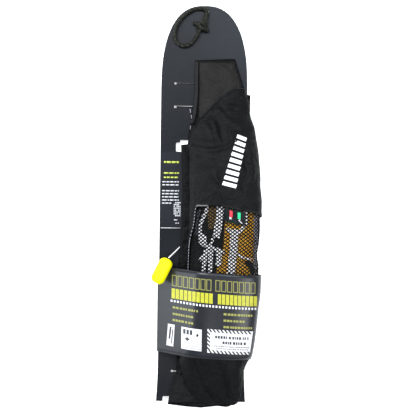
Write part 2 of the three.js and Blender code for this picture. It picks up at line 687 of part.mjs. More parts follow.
// Flat strap laid over the folded contents along a few points seen from above
function strap({ width, points }) {
  const shown = HEM_START - NET_SHOWN;
  const route = new THREE.CatmullRomCurve3(points.map(([x, down]) =>
    new THREE.Vector3(PACK_AXIS + PACK_HALF * x, HEM_START - shown * down, 0)));
  const point = (inset) => (u, v) => {
    const centre = route.getPoint(v);
    const tangent = route.getTangent(v);
    const x = centre.x + tangent.y * width * (u - 0.5);
    const y = centre.y - tangent.x * width * (u - 0.5);
    return settled(x, y, heightAt(x, y, inset));
  };
  return slab(2, 8, point(STRAP_INSET), point(STRAP_INSET + STRAP_THICKNESS));
}

// Folded contents behind the net, on one side of the split: a closed ring of points at y
function foldRing(y, onLeft) {
  const edge = FOLD_SPLIT + (onLeft ? -GAP : GAP);
  let low = 1;
  let high = 3;
  for (let k = 0; k < 24; k += 1) {
    const middle = (low + high) / 2;
    if (sectionPoint(middle, y, FOLD_INSET)[0] < edge) low = middle;
    else high = middle;
  }
  const [from, to] = onLeft ? [0, low] : [high, 4];
  const over = spread(from, to, FOLD_STEPS).map((turn) => sectionPoint(turn, y, FOLD_INSET));
  const [firstX] = over[0];
  const [lastX] = over[FOLD_STEPS];
  const under = spread(lastX, firstX, 4).map((x) => [x, floorAt(x, y)]);
  return [...over, ...(onLeft ? under.slice(0, -1) : under.slice(1))].map(([x, z]) => settled(x, y, z));
}

function foldedContents(onLeft) {
  return loft(spread(FOLD_START, FOLD_END, 12).map((y) => foldRing(y, onLeft)), [0, 2]);
}

// Belt: one loop from the buckle's upper end, round the card and back to its lower end
const BELT_MIDDLE = CARD_THICKNESS / 2;
const BELT_TURN = CARD_THICKNESS / 2 + GAP + BELT_THICKNESS / 2;
const BUCKLE_START = WINDOW_TOP - WINDOW_LENGTH / 2 - BUCKLE_LENGTH / 2;

function waistBelt() {
  const upper = UPPER_SLIT - SLIT_WIDTH / 2;
  const lower = LOWER_SLIT + SLIT_WIDTH / 2;
  const turn = (y, first) => spread(first, first + Math.PI, 6).map((angle) =>
    [y + BELT_TURN * Math.cos(angle), BELT_MIDDLE + BELT_TURN * Math.sin(angle), angle]);
  const back = (y) => [y, BELT_MIDDLE - BELT_TURN, -Math.PI / 2];
  const path = [
    back(BUCKLE_START + BUCKLE_LENGTH - BUCKLE_SEAT + GAP),
    ...turn(upper, -Math.PI / 2),
    ...spread(upper, lower, 12).slice(1, -1).map((y) => [y, BELT_MIDDLE + BELT_TURN, Math.PI / 2]),
    ...turn(lower, Math.PI / 2),
    back(BUCKLE_START + BUCKLE_SEAT - GAP),
  ];
  const half = BELT_WIDTH / 2;
  const ring = ([y, z, angle]) => [[-half, 1], [half, 1], [half, -1], [-half, -1]].map(([across, side]) => {
    const reach = (side * BELT_THICKNESS) / 2;
    const rise = z + reach * Math.sin(angle) + curl(y);
    return [BELT_AXIS + across, y + reach * Math.cos(angle), rise];
  });
  return loft(path.map(ring), [0, 2]);
}

function beltBuckle() {
  const left = BELT_AXIS - BUCKLE_WIDTH / 2;
  let buckle = solidOf(plate(
    left, BUCKLE_START, BUCKLE_WIDTH, BUCKLE_LENGTH, LOWEST, BUCKLE_THICKNESS, BUCKLE_CORNER,
  ));
  const mouthWidth = BELT_WIDTH + 2 * GAP;
  const mouthHeight = BELT_THICKNESS + 2 * GAP;
  for (const y of [BUCKLE_START - 1, BUCKLE_START + BUCKLE_LENGTH - BUCKLE_SEAT]) {
    const mouthLeft = BELT_AXIS - mouthWidth / 2;
    const mouth = block(mouthLeft, y, BELT_BACK - GAP, mouthWidth, BUCKLE_SEAT + 1, mouthHeight);
    buckle = buckle.subtract(solidOf(mouth));
  }
  return geometryOf(buckle);
}

// Rounded binding along the left edge of the upper padded end
function wingBinding() {
  const point = (height) => (u, v) => {
    const along = THREE.MathUtils.lerp(BINDING_START, 0.99, v);
    const x = panelSide('left', along) + GAP + BINDING_WIDTH * u;
    const round = Math.sqrt(1 - (0.94 * (2 * u - 1)) ** 2);
    return settled(x, packY(along), PANEL_TOP + GAP + height * round);
  };
  return slab(4, 10, point(BINDING_HEIGHT), point(0));
}

// Share across the upper side where the section at y reaches x
function acrossAt(x, y) {
  const turns = evenTurns(y, 80);
  const place = turns.findIndex((turn) => turn > 1 && sectionPoint(turn, y, 0)[0] >= x);
  return place / 80;
}

// Point in front of the net, at shares across and down the status label
function labelPoint(across, down, inset) {
  const x = LABEL_LEFT + LABEL_WIDTH * across;
  const y = hemDrop(HEM_START, acrossAt(x, HEM_START)) - 2 * GAP - LABEL_LENGTH * down;
  return settled(x, y, heightAt(x, y, inset));
}

const LABEL_INSET = NET_INSET - GAP - LABEL_THICKNESS;

function statusLabel() {
  const point = (inset) => (u, v) => labelPoint(u, 1 - v, inset);
  return slab(6, 3, point(LABEL_INSET), point(LABEL_INSET + LABEL_THICKNESS));
}

function statusMark(across) {
  const width = MARK_WIDTH / LABEL_WIDTH;
  const length = MARK_LENGTH / LABEL_LENGTH;
  const point = (inset) => (u, v) =>
    labelPoint(across + width * (u - 0.5), MARK_DOWN + length * (1 - v), inset);
  return slab(1, 1, point(LABEL_INSET - GAP - MARK_THICKNESS), point(LABEL_INSET - GAP));
}

// Sleeve: the taut loop round the card and the pouch
function tautLoop(y) {
  const side = CARD_WIDTH / 2 + SLEEVE_CLEARANCE;
  const points = [[-side, SLEEVE_BACK], [side, SLEEVE_BACK], [-side, CARD_TOP + SLEEVE_CLEARANCE]];
  for (const turn of spread(0, 4, 56)) points.push(sectionPoint(turn, y, -SLEEVE_CLEARANCE));
  points.sort((a, b) => a[0] - b[0] || a[1] - b[1]);
  const upper = [];
  for (const point of points) {
    while (upper.length > 1) {
      const [a, b] = upper.slice(-2);
      if ((b[0] - a[0]) * (point[1] - a[1]) - (b[1] - a[1]) * (point[0] - a[0]) < 0) break;
      upper.pop();
    }
    upper.push(point);
  }
  const farthest = upper[upper.length - 1];
  const down = points.filter(([, z]) => z < farthest[1]).sort((a, b) => b[1] - a[1] || b[0] - a[0]);
  const lower = [farthest];
  for (const point of down) {
    while (lower.length > 1) {
      const [a, b] = lower.slice(-2);
      if ((b[0] - a[0]) * (point[1] - a[1]) - (b[1] - a[1]) * (point[0] - a[0]) < 0) break;
      lower.pop();
    }
    lower.push(point);
    if (point[0] === side && point[1] === SLEEVE_BACK) break;
  }
  return [...upper.slice(1), ...lower.slice(1)];
}

// Points of the loop: equal steps over the front from the card's left edge, then the straight back
function loopPoints(y) {
  const front = tautLoop(y);
  const lengths = [0];
  for (let k = 1; k < front.length; k += 1) {
    lengths.push(lengths[k - 1] + Math.hypot(front[k][0] - front[k - 1][0], front[k][1] - front[k - 1][1]));
  }
  const total = lengths[lengths.length - 1];
  const points = spread(0, total, SLEEVE_STEPS).map((goal) => {
    let k = 1;
    while (k < front.length - 1 && lengths[k] < goal) k += 1;
    return between(front[k - 1], front[k], (goal - lengths[k - 1]) / (lengths[k] - lengths[k - 1]));
  });
  const side = CARD_WIDTH / 2 + SLEEVE_CLEARANCE;
  return [...points, [side / 3, SLEEVE_BACK], [-side / 3, SLEEVE_BACK], [-side, SLEEVE_BACK]];
}

const sleeveLow = (x) => SLEEVE_START + SLEEVE_LOW_SLOPE * x;
const sleeveTop = (x) => SLEEVE_START + SLEEVE_LENGTH + SLEEVE_TOP_SLOPE * x;

function sleevePoint(i, v, outset) {
  let y = THREE.MathUtils.lerp(sleeveLow(0), sleeveTop(0), v);
  let loop = loopPoints(y);
  for (let k = 0; k < 2; k += 1) {
    y = THREE.MathUtils.lerp(sleeveLow(loop[i][0]), sleeveTop(loop[i][0]), v);
    loop = loopPoints(y);
  }
  const before = loop[(i + loop.length - 1) % loop.length];
  const after = loop[(i + 1) % loop.length];
  const [x, z] = loop[i];
  const run = [[x - before[0], z - before[1]], [after[0] - x, after[1] - z]].map(([dx, dz]) => {
    const length = Math.hypot(dx, dz);
    return [dx / length, dz / length];
  });
  const normal = [-(run[0][1] + run[1][1]), run[0][0] + run[1][0]];
  const reach = (2 * outset) / (normal[0] ** 2 + normal[1] ** 2);
  return settled(x + normal[0] * reach, y, z + normal[1] * reach);
}

function cardSleeve() {
  const point = (outset) => (i, v) => sleevePoint(i, v, outset);
  return band(SLEEVE_STEPS + 4, 5, point(0), point(SLEEVE_THICKNESS));
}

// Toggle, seated against the slope of the sleeve
function pullToggle() {
  const reach = TOGGLE_ROUNDING;
  const shape = plateShape(-TOGGLE_WIDTH / 2 + reach, -TOGGLE_LENGTH / 2 + reach, TOGGLE_WIDTH - 2 * reach,
    TOGGLE_LENGTH - 2 * reach, TOGGLE_CORNER - reach);
  const depth = TOGGLE_THICKNESS - 2 * reach;
  return new THREE.ExtrudeGeometry(shape, {
    depth, bevelEnabled: true, bevelSize: reach, bevelThickness: reach, bevelSegments: 2, curveSegments: 4,
  }).translate(0, 0, -depth / 2);
}

// Height of the toggle's centre where its flat underside just clears the sleeve
function toggleSeat(turned) {
  let seat = CARD_TOP + TOGGLE_THICKNESS;
  const halfLength = TOGGLE_LENGTH / 2 - TOGGLE_ROUNDING;
  const halfWidth = TOGGLE_WIDTH / 2 - TOGGLE_ROUNDING;
  for (const along of spread(-halfLength, halfLength, 16)) {
    for (const across of spread(-halfWidth, halfWidth, 8)) {
      const under = new THREE.Vector3(across, along, -TOGGLE_THICKNESS / 2).applyEuler(turned);
      const x = TOGGLE_X + under.x;
      const y = TOGGLE_Y + under.y;
      if (y > sleeveTop(x) + 1) continue;
      const slope = tautLoop(y);
      const k = slope.findIndex((point) => point[0] > x);
      if (k < 1) continue;
      const [a, b] = [slope[k - 1], slope[k]];
      const rise = a[1] + ((b[1] - a[1]) * (x - a[0])) / (b[0] - a[0]);
      seat = Math.max(seat, rise + SLEEVE_THICKNESS + GAP - under.z);
    }
  }
  return seat;
}

function tube(route, diameter, sides, steps) {
  const circle = new THREE.Shape();
  circle.absarc(0, 0, diameter / 2, 0, 2 * Math.PI);
  const path = new THREE.CatmullRomCurve3(route.map((point) => new THREE.Vector3(...point)));
  const settings = { steps, curveSegments: sides / 2, extrudePath: path, bevelEnabled: false };
  return new THREE.ExtrudeGeometry(circle, settings);
}

// Knot with its two cut ends, its neck and the turn through the card's hole
function cordKnot() {
  const radius = HANG_CORD_DIAMETER / 2;
  const [x, y, z] = NECK_ROUTE[NECK_ROUTE.length - 1];
  const [kx, ky] = KNOT_PLACE;
  const body = new THREE.SphereGeometry(KNOT_DIAMETER / 2, 10, 7).rotateX(Math.PI / 2);
  const turn = new THREE.CylinderGeometry(radius, radius, z + radius, 8).rotateX(Math.PI / 2);
  const knot = [
    body.scale(1.15, 1.05, 0.92).translate(kx, ky, CARD_TOP + GAP + 0.46 * KNOT_DIAMETER),
    tube(NECK_ROUTE, HANG_CORD_DIAMETER, 8, 5),
    new THREE.SphereGeometry(radius, 8, 6).translate(x, y, z),
    turn.translate(x, y, (z - radius) / 2),
    ...KNOT_ENDS.map((end) => {
      const route = end.map(([dx, dy, height]) => [kx + dx, ky + dy, height]);
      return tube([[kx, ky, 4.6], ...route], HANG_CORD_DIAMETER, 8, 3);
    }),
  ].map(solidOf);
  return geometryOf(knot.reduce((whole, piece) => whole.add(piece)));
}

function finish(color, roughness, metalness = 0) {
  return () => new THREE.MeshStandardMaterial({ color, roughness, metalness });
}

const slatePlastic = finish(0x3a3e45, 0.5);
const sleeveFilm = finish(0x3b3f48, 0.4);
const blackNylon = finish(0x232627, 0.85);
const blackWebbing = finish(0x1b1c1e, 0.9);
const darkFold = finish(0x15191a, 0.9);
const blackNet = finish(0x1c1a16, 0.8);
const bladderCloth = finish(0xd99a1c, 0.6);
const whiteTape = finish(0xe6e6ea, 0.7);
const blackCord = finish(0x2a2d2b, 0.9);

const toggleTurn = new THREE.Euler(TOGGLE_PITCH, TOGGLE_TILT, TOGGLE_TURN, 'ZXY');

const pieces = [
  ['display_card', displayCard(), slatePlastic],
  ['leaflet', leaflet(), finish(0x24282c, 0.6)],
  ['card_sleeve', cardSleeve(), sleeveFilm],
  ['waist_belt', waistBelt(), blackWebbing],
  ['belt_buckle', beltBuckle(), finish(0x17181a, 0.5)],
  ['back_panel', backPanel(), blackNylon],
  ['wing_upper', pad(UPPER_PAD_FORM, UPPER_PAD), blackNylon],
  ['wing_lower', pad(LOWER_PAD_FORM, LOWER_PAD), blackNylon],
  ['wing_binding', wingBinding(), blackWebbing],
  ['cover_upper', coverUpper(), blackNylon],
  ['cover_lower', coverLower(), blackNylon],
  ['mesh_panel', meshPanel(), blackNet],
  ['bladder_roll', foldedContents(false), bladderCloth],
  ['inner_fold', foldedContents(true), darkFold],
  ['status_label', statusLabel(), finish(0x141a1c, 0.35)],
  ['status_mark_red', statusMark(0.33), finish(0xe03a48, 0.4)],
  ['status_mark_green', statusMark(0.71), finish(0x18cc78, 0.4)],
  ['hang_cord', tube(HANG_ROUTE, HANG_CORD_DIAMETER, 10, 16), blackCord],
  ['cord_knot', cordKnot(), blackCord],
  ['pull_cord', tube(PULL_ROUTE, PULL_CORD_DIAMETER, 8, 12), finish(0xf0f0f0, 0.8)],
  ['pull_toggle', pullToggle(), finish(0xf2f020, 0.5)],
  ...STRAPS.map((row) => [row.name, strap(row), whiteTape]),
  [STRIPE.name, strap(STRIPE), whiteTape],
];

const pack = new THREE.Group();
for (const [name, geometry, material] of pieces) {
  const mesh = new THREE.Mesh(geometry, material());
  mesh.name = name;
  if (name === 'pull_toggle') {
    mesh.rotation.copy(toggleTurn);
    mesh.position.set(TOGGLE_X, TOGGLE_Y, toggleSeat(toggleTurn));
  }
  pack.add(mesh);
}

// The origin is under the middle of the part, cords left out, on the surface that it lies on
pack.updateMatrixWorld(true);
const body = new THREE.Box3();
for (const mesh of pack.children) {
  if (!/cord|toggle/.test(mesh.name)) body.expandByObject(mesh, true);
}
const middle = body.getCenter(new THREE.Vector3());
pack.position.set(-middle.x, -middle.y, -body.min.z);

export default pack;
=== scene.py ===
import math
import random
from functools import cache

import bpy
import bmesh
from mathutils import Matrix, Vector, noise
from mathutils.bvhtree import BVHTree


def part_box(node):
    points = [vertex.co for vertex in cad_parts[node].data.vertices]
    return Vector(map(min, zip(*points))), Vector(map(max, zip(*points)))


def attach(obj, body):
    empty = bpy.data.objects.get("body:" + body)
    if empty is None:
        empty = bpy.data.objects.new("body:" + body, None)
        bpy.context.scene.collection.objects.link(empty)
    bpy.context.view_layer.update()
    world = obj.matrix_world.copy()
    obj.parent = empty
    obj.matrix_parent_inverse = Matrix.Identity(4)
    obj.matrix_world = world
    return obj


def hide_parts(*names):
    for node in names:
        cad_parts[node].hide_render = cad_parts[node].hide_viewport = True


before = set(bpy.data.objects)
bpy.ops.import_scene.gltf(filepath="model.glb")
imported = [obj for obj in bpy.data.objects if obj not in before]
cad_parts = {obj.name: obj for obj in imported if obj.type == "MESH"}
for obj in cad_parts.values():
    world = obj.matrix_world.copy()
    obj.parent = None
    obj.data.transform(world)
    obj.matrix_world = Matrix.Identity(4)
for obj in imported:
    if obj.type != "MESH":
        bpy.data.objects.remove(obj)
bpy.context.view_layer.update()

# ---- The view from above ----
# The carded pack lies flat on its back and is seen from straight above, turned a little.
# Places are given in millimetres on the card: across it from its middle, up it from its
# foot, and up from its back.
CARD_LOW, CARD_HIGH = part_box("display_card")
CARD_MIDDLE = (CARD_LOW[0] + CARD_HIGH[0]) / 2
MM = 0.001
VIEW_PLACE = (7.28, 269.3, 1100)
VIEW_TURN = 0.7


def on_card(x, y, z):
    return Vector((CARD_MIDDLE + x * MM, CARD_LOW[1] + y * MM, CARD_LOW[2] + z * MM))


eye = bpy.data.objects.new("eye", bpy.data.cameras.new("eye"))
bpy.context.collection.objects.link(eye)
eye.data.lens = 68.0
eye.data.sensor_width = 36.0
eye.location = on_card(*VIEW_PLACE)
eye.rotation_euler = (0, 0, math.radians(VIEW_TURN))
bpy.context.scene.camera = eye


# ---- Hanging cord ----
# A loop of dark braided cord goes through the hole at the card's top and ends in a stopper
# knot with two cut ends. The braid is round and dull, with painted shade that goes black between its strands.
def feed(tree, node, inputs):
    """Link or set a node's inputs. A colour is given as its red, green and blue."""
    for key, value in inputs.items():
        if isinstance(value, bpy.types.NodeSocket):
            tree.links.new(value, node.inputs[key])
        else:
            node.inputs[key].default_value = (*value, 1) if isinstance(value, tuple) else value
    return node.outputs


def put(tree, kind, inputs, **settings):
    made = tree.nodes.new("ShaderNode" + kind)
    for key, value in settings.items():
        setattr(made, key, value)
    return feed(tree, made, inputs)


def math_node(tree, operation, *values):
    return put(tree, "Math", dict(enumerate(values)), operation=operation)[0]


def effect(name, takes, gives):
    group = bpy.data.node_groups.new(name, "ShaderNodeTree")
    for label, kind, value in takes:
        socket = group.interface.new_socket(label, in_out="INPUT", socket_type="NodeSocket" + kind)
        if value is not None:
            socket.default_value = value
    for label, kind in gives:
        group.interface.new_socket(label, in_out="OUTPUT", socket_type="NodeSocket" + kind)
    return group, group.nodes.new("NodeGroupInput").outputs, group.nodes.new("NodeGroupOutput")


def place(tree, group, inputs):
    made = tree.nodes.new("ShaderNodeGroup")
    made.node_tree = group
    return feed(tree, made, inputs)


def start_material(name, **plain):
    material = bpy.data.materials.new(name)
    material.use_nodes = True
    tree = material.node_tree
    surface = tree.nodes["Principled BSDF"]
    for key, value in plain.items():
        feed(tree, surface, {key.replace("_", " ").title().replace("Ior", "IOR"): value})
    return material, tree, surface


# Mottle: soft cloudy change between two colours
mottle, given, gives = effect(
    "mottle",
    [("Vector", "Vector", None), ("Scale", "Float", 60.0), ("Dark", "Color", None), ("Light", "Color", None)],
    [("Colour", "Color")],
)
cloud = put(mottle, "TexNoise", {"Vector": given["Vector"], "Scale": given["Scale"], "Detail": 5.0})["Fac"]
mask = put(mottle, "MapRange", {"Value": cloud, "From Min": 0.3, "From Max": 0.7})["Result"]
blend = put(mottle, "Mix", {0: mask, 6: given["Dark"], 7: given["Light"]}, data_type="RGBA")[2]
feed(mottle, gives, {"Colour": blend})

# Crossing: two sets of threads over and under each other, at so many threads to a unit
crossing, given, gives = effect(
    "crossing",
    [("Vector", "Vector", None), ("Across", "Float", 1500.0), ("Along", "Float", 1500.0),
     ("Slant", "Float", 0.0)],
    [("Height", "Float")],
)
x, y, _ = put(crossing, "SeparateXYZ", {"Vector": given["Vector"]})
lean_x, lean_y = (math_node(crossing, "MULTIPLY", way, given["Slant"]) for way in (x, y))
warp = math_node(crossing, "MULTIPLY", math_node(crossing, "ADD", x, lean_y), given["Across"])
weft = math_node(crossing, "MULTIPLY", math_node(crossing, "SUBTRACT", y, lean_x), given["Along"])
over = math_node(crossing, "MULTIPLY", math_node(crossing, "SINE", warp), math_node(crossing, "SINE", weft))
feed(crossing, gives, {"Height": math_node(crossing, "MULTIPLY_ADD", over, 0.5, 0.5)})


def woven(name, dark, light, across, along, depth=0.3, source="UV", slant=0.0, grain=60.0, hollow_shade=0.72,
          crinkle=0.0, **plain):
    """Cloth, tape or braid. Its colour carries painted shade between the threads and a painted highlight on
    their tops: hollow is how dark that painted shade is, crinkle how rumpled it is.
    """
    material, tree, surface = start_material(name, **plain)
    where = tree.nodes.new("ShaderNodeTexCoord").outputs[source]
    cloud = place(tree, mottle, {"Vector": where, "Scale": grain, "Dark": dark, "Light": light})["Colour"]
    threads = place(tree, crossing, {"Vector": where, "Across": across, "Along": along,
                                     "Slant": slant})["Height"]
    # Painted shade and highlight: the thread height darkens the colour between threads and lightens it on their
    # tops.
    shade = put(tree, "MapRange", {"Value": threads, "To Min": hollow_shade, "To Max": 1.12})["Result"]
    relief = {"Height": threads, "Strength": depth, "Distance": 0.0003}
    if crinkle:
        crease = put(tree, "TexNoise", {"Vector": where, "Scale": 42.0, "Detail": 4.0,
                                        "Distortion": 1.6})["Fac"]
        ridge = put(tree, "MapRange", {"Value": crease, "From Min": 0.35, "From Max": 0.65},
                    interpolation_type="SMOOTHSTEP")["Result"]
        rumpled = put(tree, "Bump", {"Height": ridge, "Strength": crinkle, "Distance": 0.004})
        relief["Normal"] = rumpled["Normal"]
    tint = put(tree, "VectorMath", {0: cloud, "Scale": shade}, operation="SCALE")[0]
    feed(tree, surface, {"Base Color": tint, "Normal": put(tree, "Bump", relief)["Normal"]})
    return material


def through(points, per):
    """Smooth line through a few points, per steps to each stretch."""
    line = []
    for k in range(len(points) - 1):
        a, b = points[k], points[k + 1]
        before = points[k - 1] if k else a * 2 - b
        after = points[k + 2] if k + 2 < len(points) else b * 2 - a
        for step in range(per):
            t = step / per
            line.append(0.5 * ((2 * a) + (b - before) * t + (2 * before - 5 * a + 4 * b - after) * t * t
                               + (3 * a - before - 3 * b + after) * t ** 3))
    return line + [points[-1].copy()]


def piece(name, points, faces, material, stands_for=(), flat=None):
    mesh = bpy.data.meshes.new(name)
    mesh.from_pydata([tuple(p) for p in points], [], faces)
    if flat:
        layer = mesh.uv_layers.new(name="cut")
        for loop in mesh.loops:
            layer.data[loop.index].uv = flat[loop.vertex_index]
    work = bmesh.new()
    work.from_mesh(mesh)
    bmesh.ops.recalc_face_normals(work, faces=work.faces)
    work.to_mesh(mesh)
    work.free()
    mesh.polygons.foreach_set("use_smooth", [True] * len(mesh.polygons))
    made = bpy.data.objects.new(name, mesh)
    bpy.context.collection.objects.link(made)
    mesh.materials.append(material)
    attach(made, "root")
    if stands_for:
        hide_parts(*stands_for)
    return made


def round_line(line, radius, sides=12, ripple=0.0, lays=0.0):
    """Points, faces and flat places of a round cord with rounded ends along a line."""
    points, faces, flat = [], [], []
    side = Vector((0, 0, 1))
    run = 0.0
    last = len(line) - 1
    rings = [(0, -0.85, 0.35), (0, -0.5, 0.8)] + [(k, 0, 1) for k in range(last + 1)]
    rings += [(last, 0.5, 0.8), (last, 0.85, 0.35)]
    for k, shift, share in rings:
        ahead = (line[min(k + 1, last)] - line[max(k - 1, 0)]).normalized()
        side = (side - ahead * side.dot(ahead)).normalized()
        other = ahead.cross(side)
        run += (line[k] - line[k - 1]).length if k and not shift else 0.0
        for n in range(sides):
            turn = 2 * math.pi * n / sides
            lay = 1 + ripple * math.sin(2 * turn + lays * run) * math.sin(2 * turn - lays * run)
            spoke = (side * math.cos(turn) + other * math.sin(turn)) * (radius * share * lay)
            points.append(line[k] + ahead * (shift * radius) + spoke)
            flat.append((n / sides, run / (2 * radius)))
    return points, tube_faces(len(rings), sides), flat


def tube_faces(rings, sides):
    faces = []
    for ring in range(rings - 1):
        for n in range(sides):
            a, b = ring * sides + n, ring * sides + (n + 1) % sides
            faces.append((a, b, b + sides, a + sides))
    return faces + [tuple(range(sides)), tuple((rings - 1) * sides + n for n in range(sides))]


def joined(name, shapes, material, stands_for=()):
    points, faces, flat = [], [], []
    for more, sides, places in shapes:
        faces += [tuple(len(points) + k for k in face) for face in sides]
        points += more
        flat += places
    return piece(name, points, faces, material, stands_for, flat)


def on_route(route, per):
    return through([on_card(*p) for p in route], per)


# The braid's colour is painted black in the shade between its strands.
braid_dark = woven("braid_dark", (0.002, 0.0024, 0.002), (0.040, 0.043, 0.033), 4 * math.pi, 7.5, 1.0,
                   slant=0.2, grain=1.6, hollow_shade=0.0, roughness=0.6, specular_ior_level=0.12)
HANG_ROUTE = [
    (-0.4, 546.6, 4.0), (-9.5, 547.9, 4.0), (-16.5, 545.9, 4.0), (-23.0, 542.2, 4.0), (-29.0, 537.4, 4.0),
    (-34.4, 531.4, 4.0), (-38.6, 524.4, 4.0), (-41.2, 516.6, 4.0), (-41.8, 508.6, 4.0), (-39.5, 501.2, 4.0),
    (-34.0, 496.3, 4.0), (-26.8, 495.3, 4.0), (-20.0, 498.2, 4.0), (-14.8, 503.4, 4.0), (-10.7, 509.8, 4.0),
    (-7.9, 516.4, 4.1),
]
HANG_THICK = 5.4
HANG_LAYS = (0.08, 2200)
hang_way = on_route(HANG_ROUTE, 2)
braid = round_line(on_route(HANG_ROUTE, 8), HANG_THICK / 2 * MM, 16, *HANG_LAYS)
hang_cord = joined("hang_cord_braid", [braid], braid_dark, ("hang_cord",))
NECK_ROUTE = [
    (-6.2, 520.0, 4.6), (-3.6, 526.0, 4.6), (-1.6, 532.0, 4.3), (0.2, 537.5, 4.0), (1.7, 542.0, 3.9),
    (2.6, 545.0, 3.4), (2.6, 545.9, 0.9),
]
KNOT_WRAPS = [
    [(-9.6, 519.0, 4.2), (-9.8, 523.0, 7.2), (-6.0, 526.4, 8.6), (-1.2, 524.6, 7.4), (0.4, 520.6, 4.4)],
    [(-9.0, 526.2, 4.4), (-7.4, 521.6, 8.0), (-3.0, 518.6, 8.4), (0.8, 517.6, 5.2), (2.6, 516.9, 4.2)],
    [(-6.4, 522.0, 4.4), (-10.6, 525.4, 4.8), (-15.2, 527.0, 4.0)],
    [(-3.6, 521.0, 4.4), (0.6, 519.2, 4.4), (3.4, 516.8, 4.0)],
    [(2.9, 541.0, 3.6), (1.7, 534.0, 4.6), (0.4, 527.0, 6.0), (1.6, 521.0, 4.4)],
]
wraps = [round_line(on_route(route, 8), HANG_THICK / 2 * MM, 14, *HANG_LAYS)
         for route in [NECK_ROUTE] + KNOT_WRAPS]
knot = joined("cord_knot_braid", wraps, braid_dark, ("cord_knot",))

# ---- Pull cord and toggle ----
# A thin white braided cord comes out from under the pouch and ends in a moulded fluorescent
# yellow toggle, which leans on the slope of the sleeve.
PULL_ROUTE = [
    (-12.0, 224.0, 2.25), (-19.0, 221.5, 2.25), (-26.0, 217.9, 2.25), (-31.7, 213.7, 2.4),
    (-36.0, 209.6, 3.6), (-40.0, 205.7, 5.8), (-43.6, 202.2, 8.2), (-46.3, 199.6, 10.0),
]
PULL_THICK = 1.9
PULL_LAYS = (0.05, 5200)
braid_white = woven("braid_white", (0.62, 0.62, 0.6), (0.85, 0.85, 0.84), 4 * math.pi, 9.0, 0.8,
                    slant=0.9, grain=4.0, roughness=0.8)
pull_way = on_route(PULL_ROUTE, 3)
braid = round_line(on_route(PULL_ROUTE, 8), PULL_THICK / 2 * MM, 12, *PULL_LAYS)
pull_cord = joined("pull_cord_braid", [braid], braid_white, ("pull_cord",))


def roughen(tree, surface, where, scale, strength, distance=0.0002, detail=2.0, distortion=0.0, rough=None):
    """Fine grain that stands out a little. rough gives the least and most roughness, where that is uneven."""
    grain = put(tree, "TexNoise", {"Vector": where, "Scale": scale, "Detail": detail,
                                   "Distortion": distortion})["Fac"]
    bump = put(tree, "Bump", {"Height": grain, "Strength": strength, "Distance": distance})
    feed(tree, surface, {"Normal": bump["Normal"]})
    if rough:
        spread = put(tree, "MapRange", {"Value": grain, "To Min": rough[0], "To Max": rough[1]})
        feed(tree, surface, {"Roughness": spread["Result"]})


def clouded(name, dark, light, scale, grain=None, **plain):
    """Plain material with a soft change of colour, and with the fine grain that is given."""
    material, tree, surface = start_material(name, **plain)
    where = tree.nodes.new("ShaderNodeTexCoord").outputs["Object"]
    cloud = place(tree, mottle, {"Vector": where, "Scale": scale, "Dark": dark, "Light": light})
    feed(tree, surface, {"Base Color": cloud["Colour"]})
    if grain:
        roughen(tree, surface, where, **grain)
    return material


def dress(node, material):
    bpy.data.objects[node].data.materials.clear()
    bpy.data.objects[node].data.materials.append(material)


dress("pull_toggle", clouded("toggle_plastic", (0.80, 0.78, 0.0), (0.90, 0.88, 0.0), 90.0,
                             dict(scale=2500.0, strength=0.15), roughness=0.5, specular_ior_level=0.15))

# ---- Table and light ----
# A pale table top stands in even daylight. Soft lamps above it and one low at its left give
# the card, the sleeve and the foot their pale sheen.
table_paint = start_material("table_paint", base_color=(0.93, 0.93, 0.93), roughness=0.9,
                             emission_color=(1, 1, 1), emission_strength=0.5)[0]
table_mesh = bpy.data.meshes.new("table_top")
table_mesh.from_pydata([(-3, -3, 0), (3, -3, 0), (3, 3, 0), (-3, 3, 0)], [], [(0, 1, 2, 3)])
table_mesh.materials.append(table_paint)
table = bpy.data.objects.new("table_top", table_mesh)
bpy.context.collection.objects.link(table)

sky = bpy.data.worlds.new("sky")
bpy.context.scene.world = sky
sky.use_nodes = True
feed(sky.node_tree, sky.node_tree.nodes["Background"], {"Color": (1, 1, 1), "Strength": 0.28})
bpy.context.scene.view_settings.view_transform = "Standard"

# Each lamp's place, aim, size, power and colour
LAMPS = {
    "upper_light": ((-0.75, 0.75, 1.25), (0, 0, 0), 0.4, 32.0, (1, 1, 1)),
    "fill_light": ((0.9, -0.5, 1.3), (0, 0, 0), 0.8, 18.0, (1, 1, 1)),
    "card_glow": ((0.22, 0.62, 1.1), (0.05, 0.25, 0), 0.4, 8.0, (0.8, 0.9, 1.0)),
    "side_glow": ((-1.15, -0.25, 0.5), (0, -0.15, 0), 0.5, 7.0, (0.86, 0.93, 1.0)),
    "foot_glow": ((-0.16, -0.5, 1.1), (-0.04, -0.25, 0), 0.22, 1.2, (1, 1, 1)),
}
for name, (stand, aim, size, power, colour) in LAMPS.items():
    lamp = bpy.data.objects.new(name, bpy.data.lights.new(name, "AREA"))
    bpy.context.collection.objects.link(lamp)
    lamp.data.size, lamp.data.energy, lamp.data.color = size, power, colour
    lamp.location = stand
    lamp.rotation_euler = (Vector(aim) - Vector(stand)).to_track_quat("-Z", "Y").to_euler()

# ---- Display card and leaflet ----
# A tall slate grey plastic card, satin, with fine scuffs. It keeps its solid's shape. Dark strips
# fill part of its two upper slits, where the slits' cut lips stand up a little: they are partly the lips and
# partly a painted shadow that hides the table under the slits. A dark folded leaflet with plain bars of colour
# is tucked under the pouch.
dress("display_card", clouded(
    "slate_plastic", (0.0032, 0.0042, 0.0062), (0.007, 0.0086, 0.012), 7.0,
    dict(scale=220.0, strength=0.12, distance=0.0004, detail=6.0, distortion=0.6, rough=(0.3, 0.46)),
    specular_ior_level=0.17))
leaflet_paper = clouded("leaflet_paper", (0.004, 0.0055, 0.0085), (0.007, 0.0092, 0.0135), 40.0, roughness=0.55,
                        specular_ior_level=0.17)
dress("leaflet", leaflet_paper)


def ink(name, dark, light, roughness=0.5):
    return clouded(name, dark, light, 300.0, roughness=roughness)


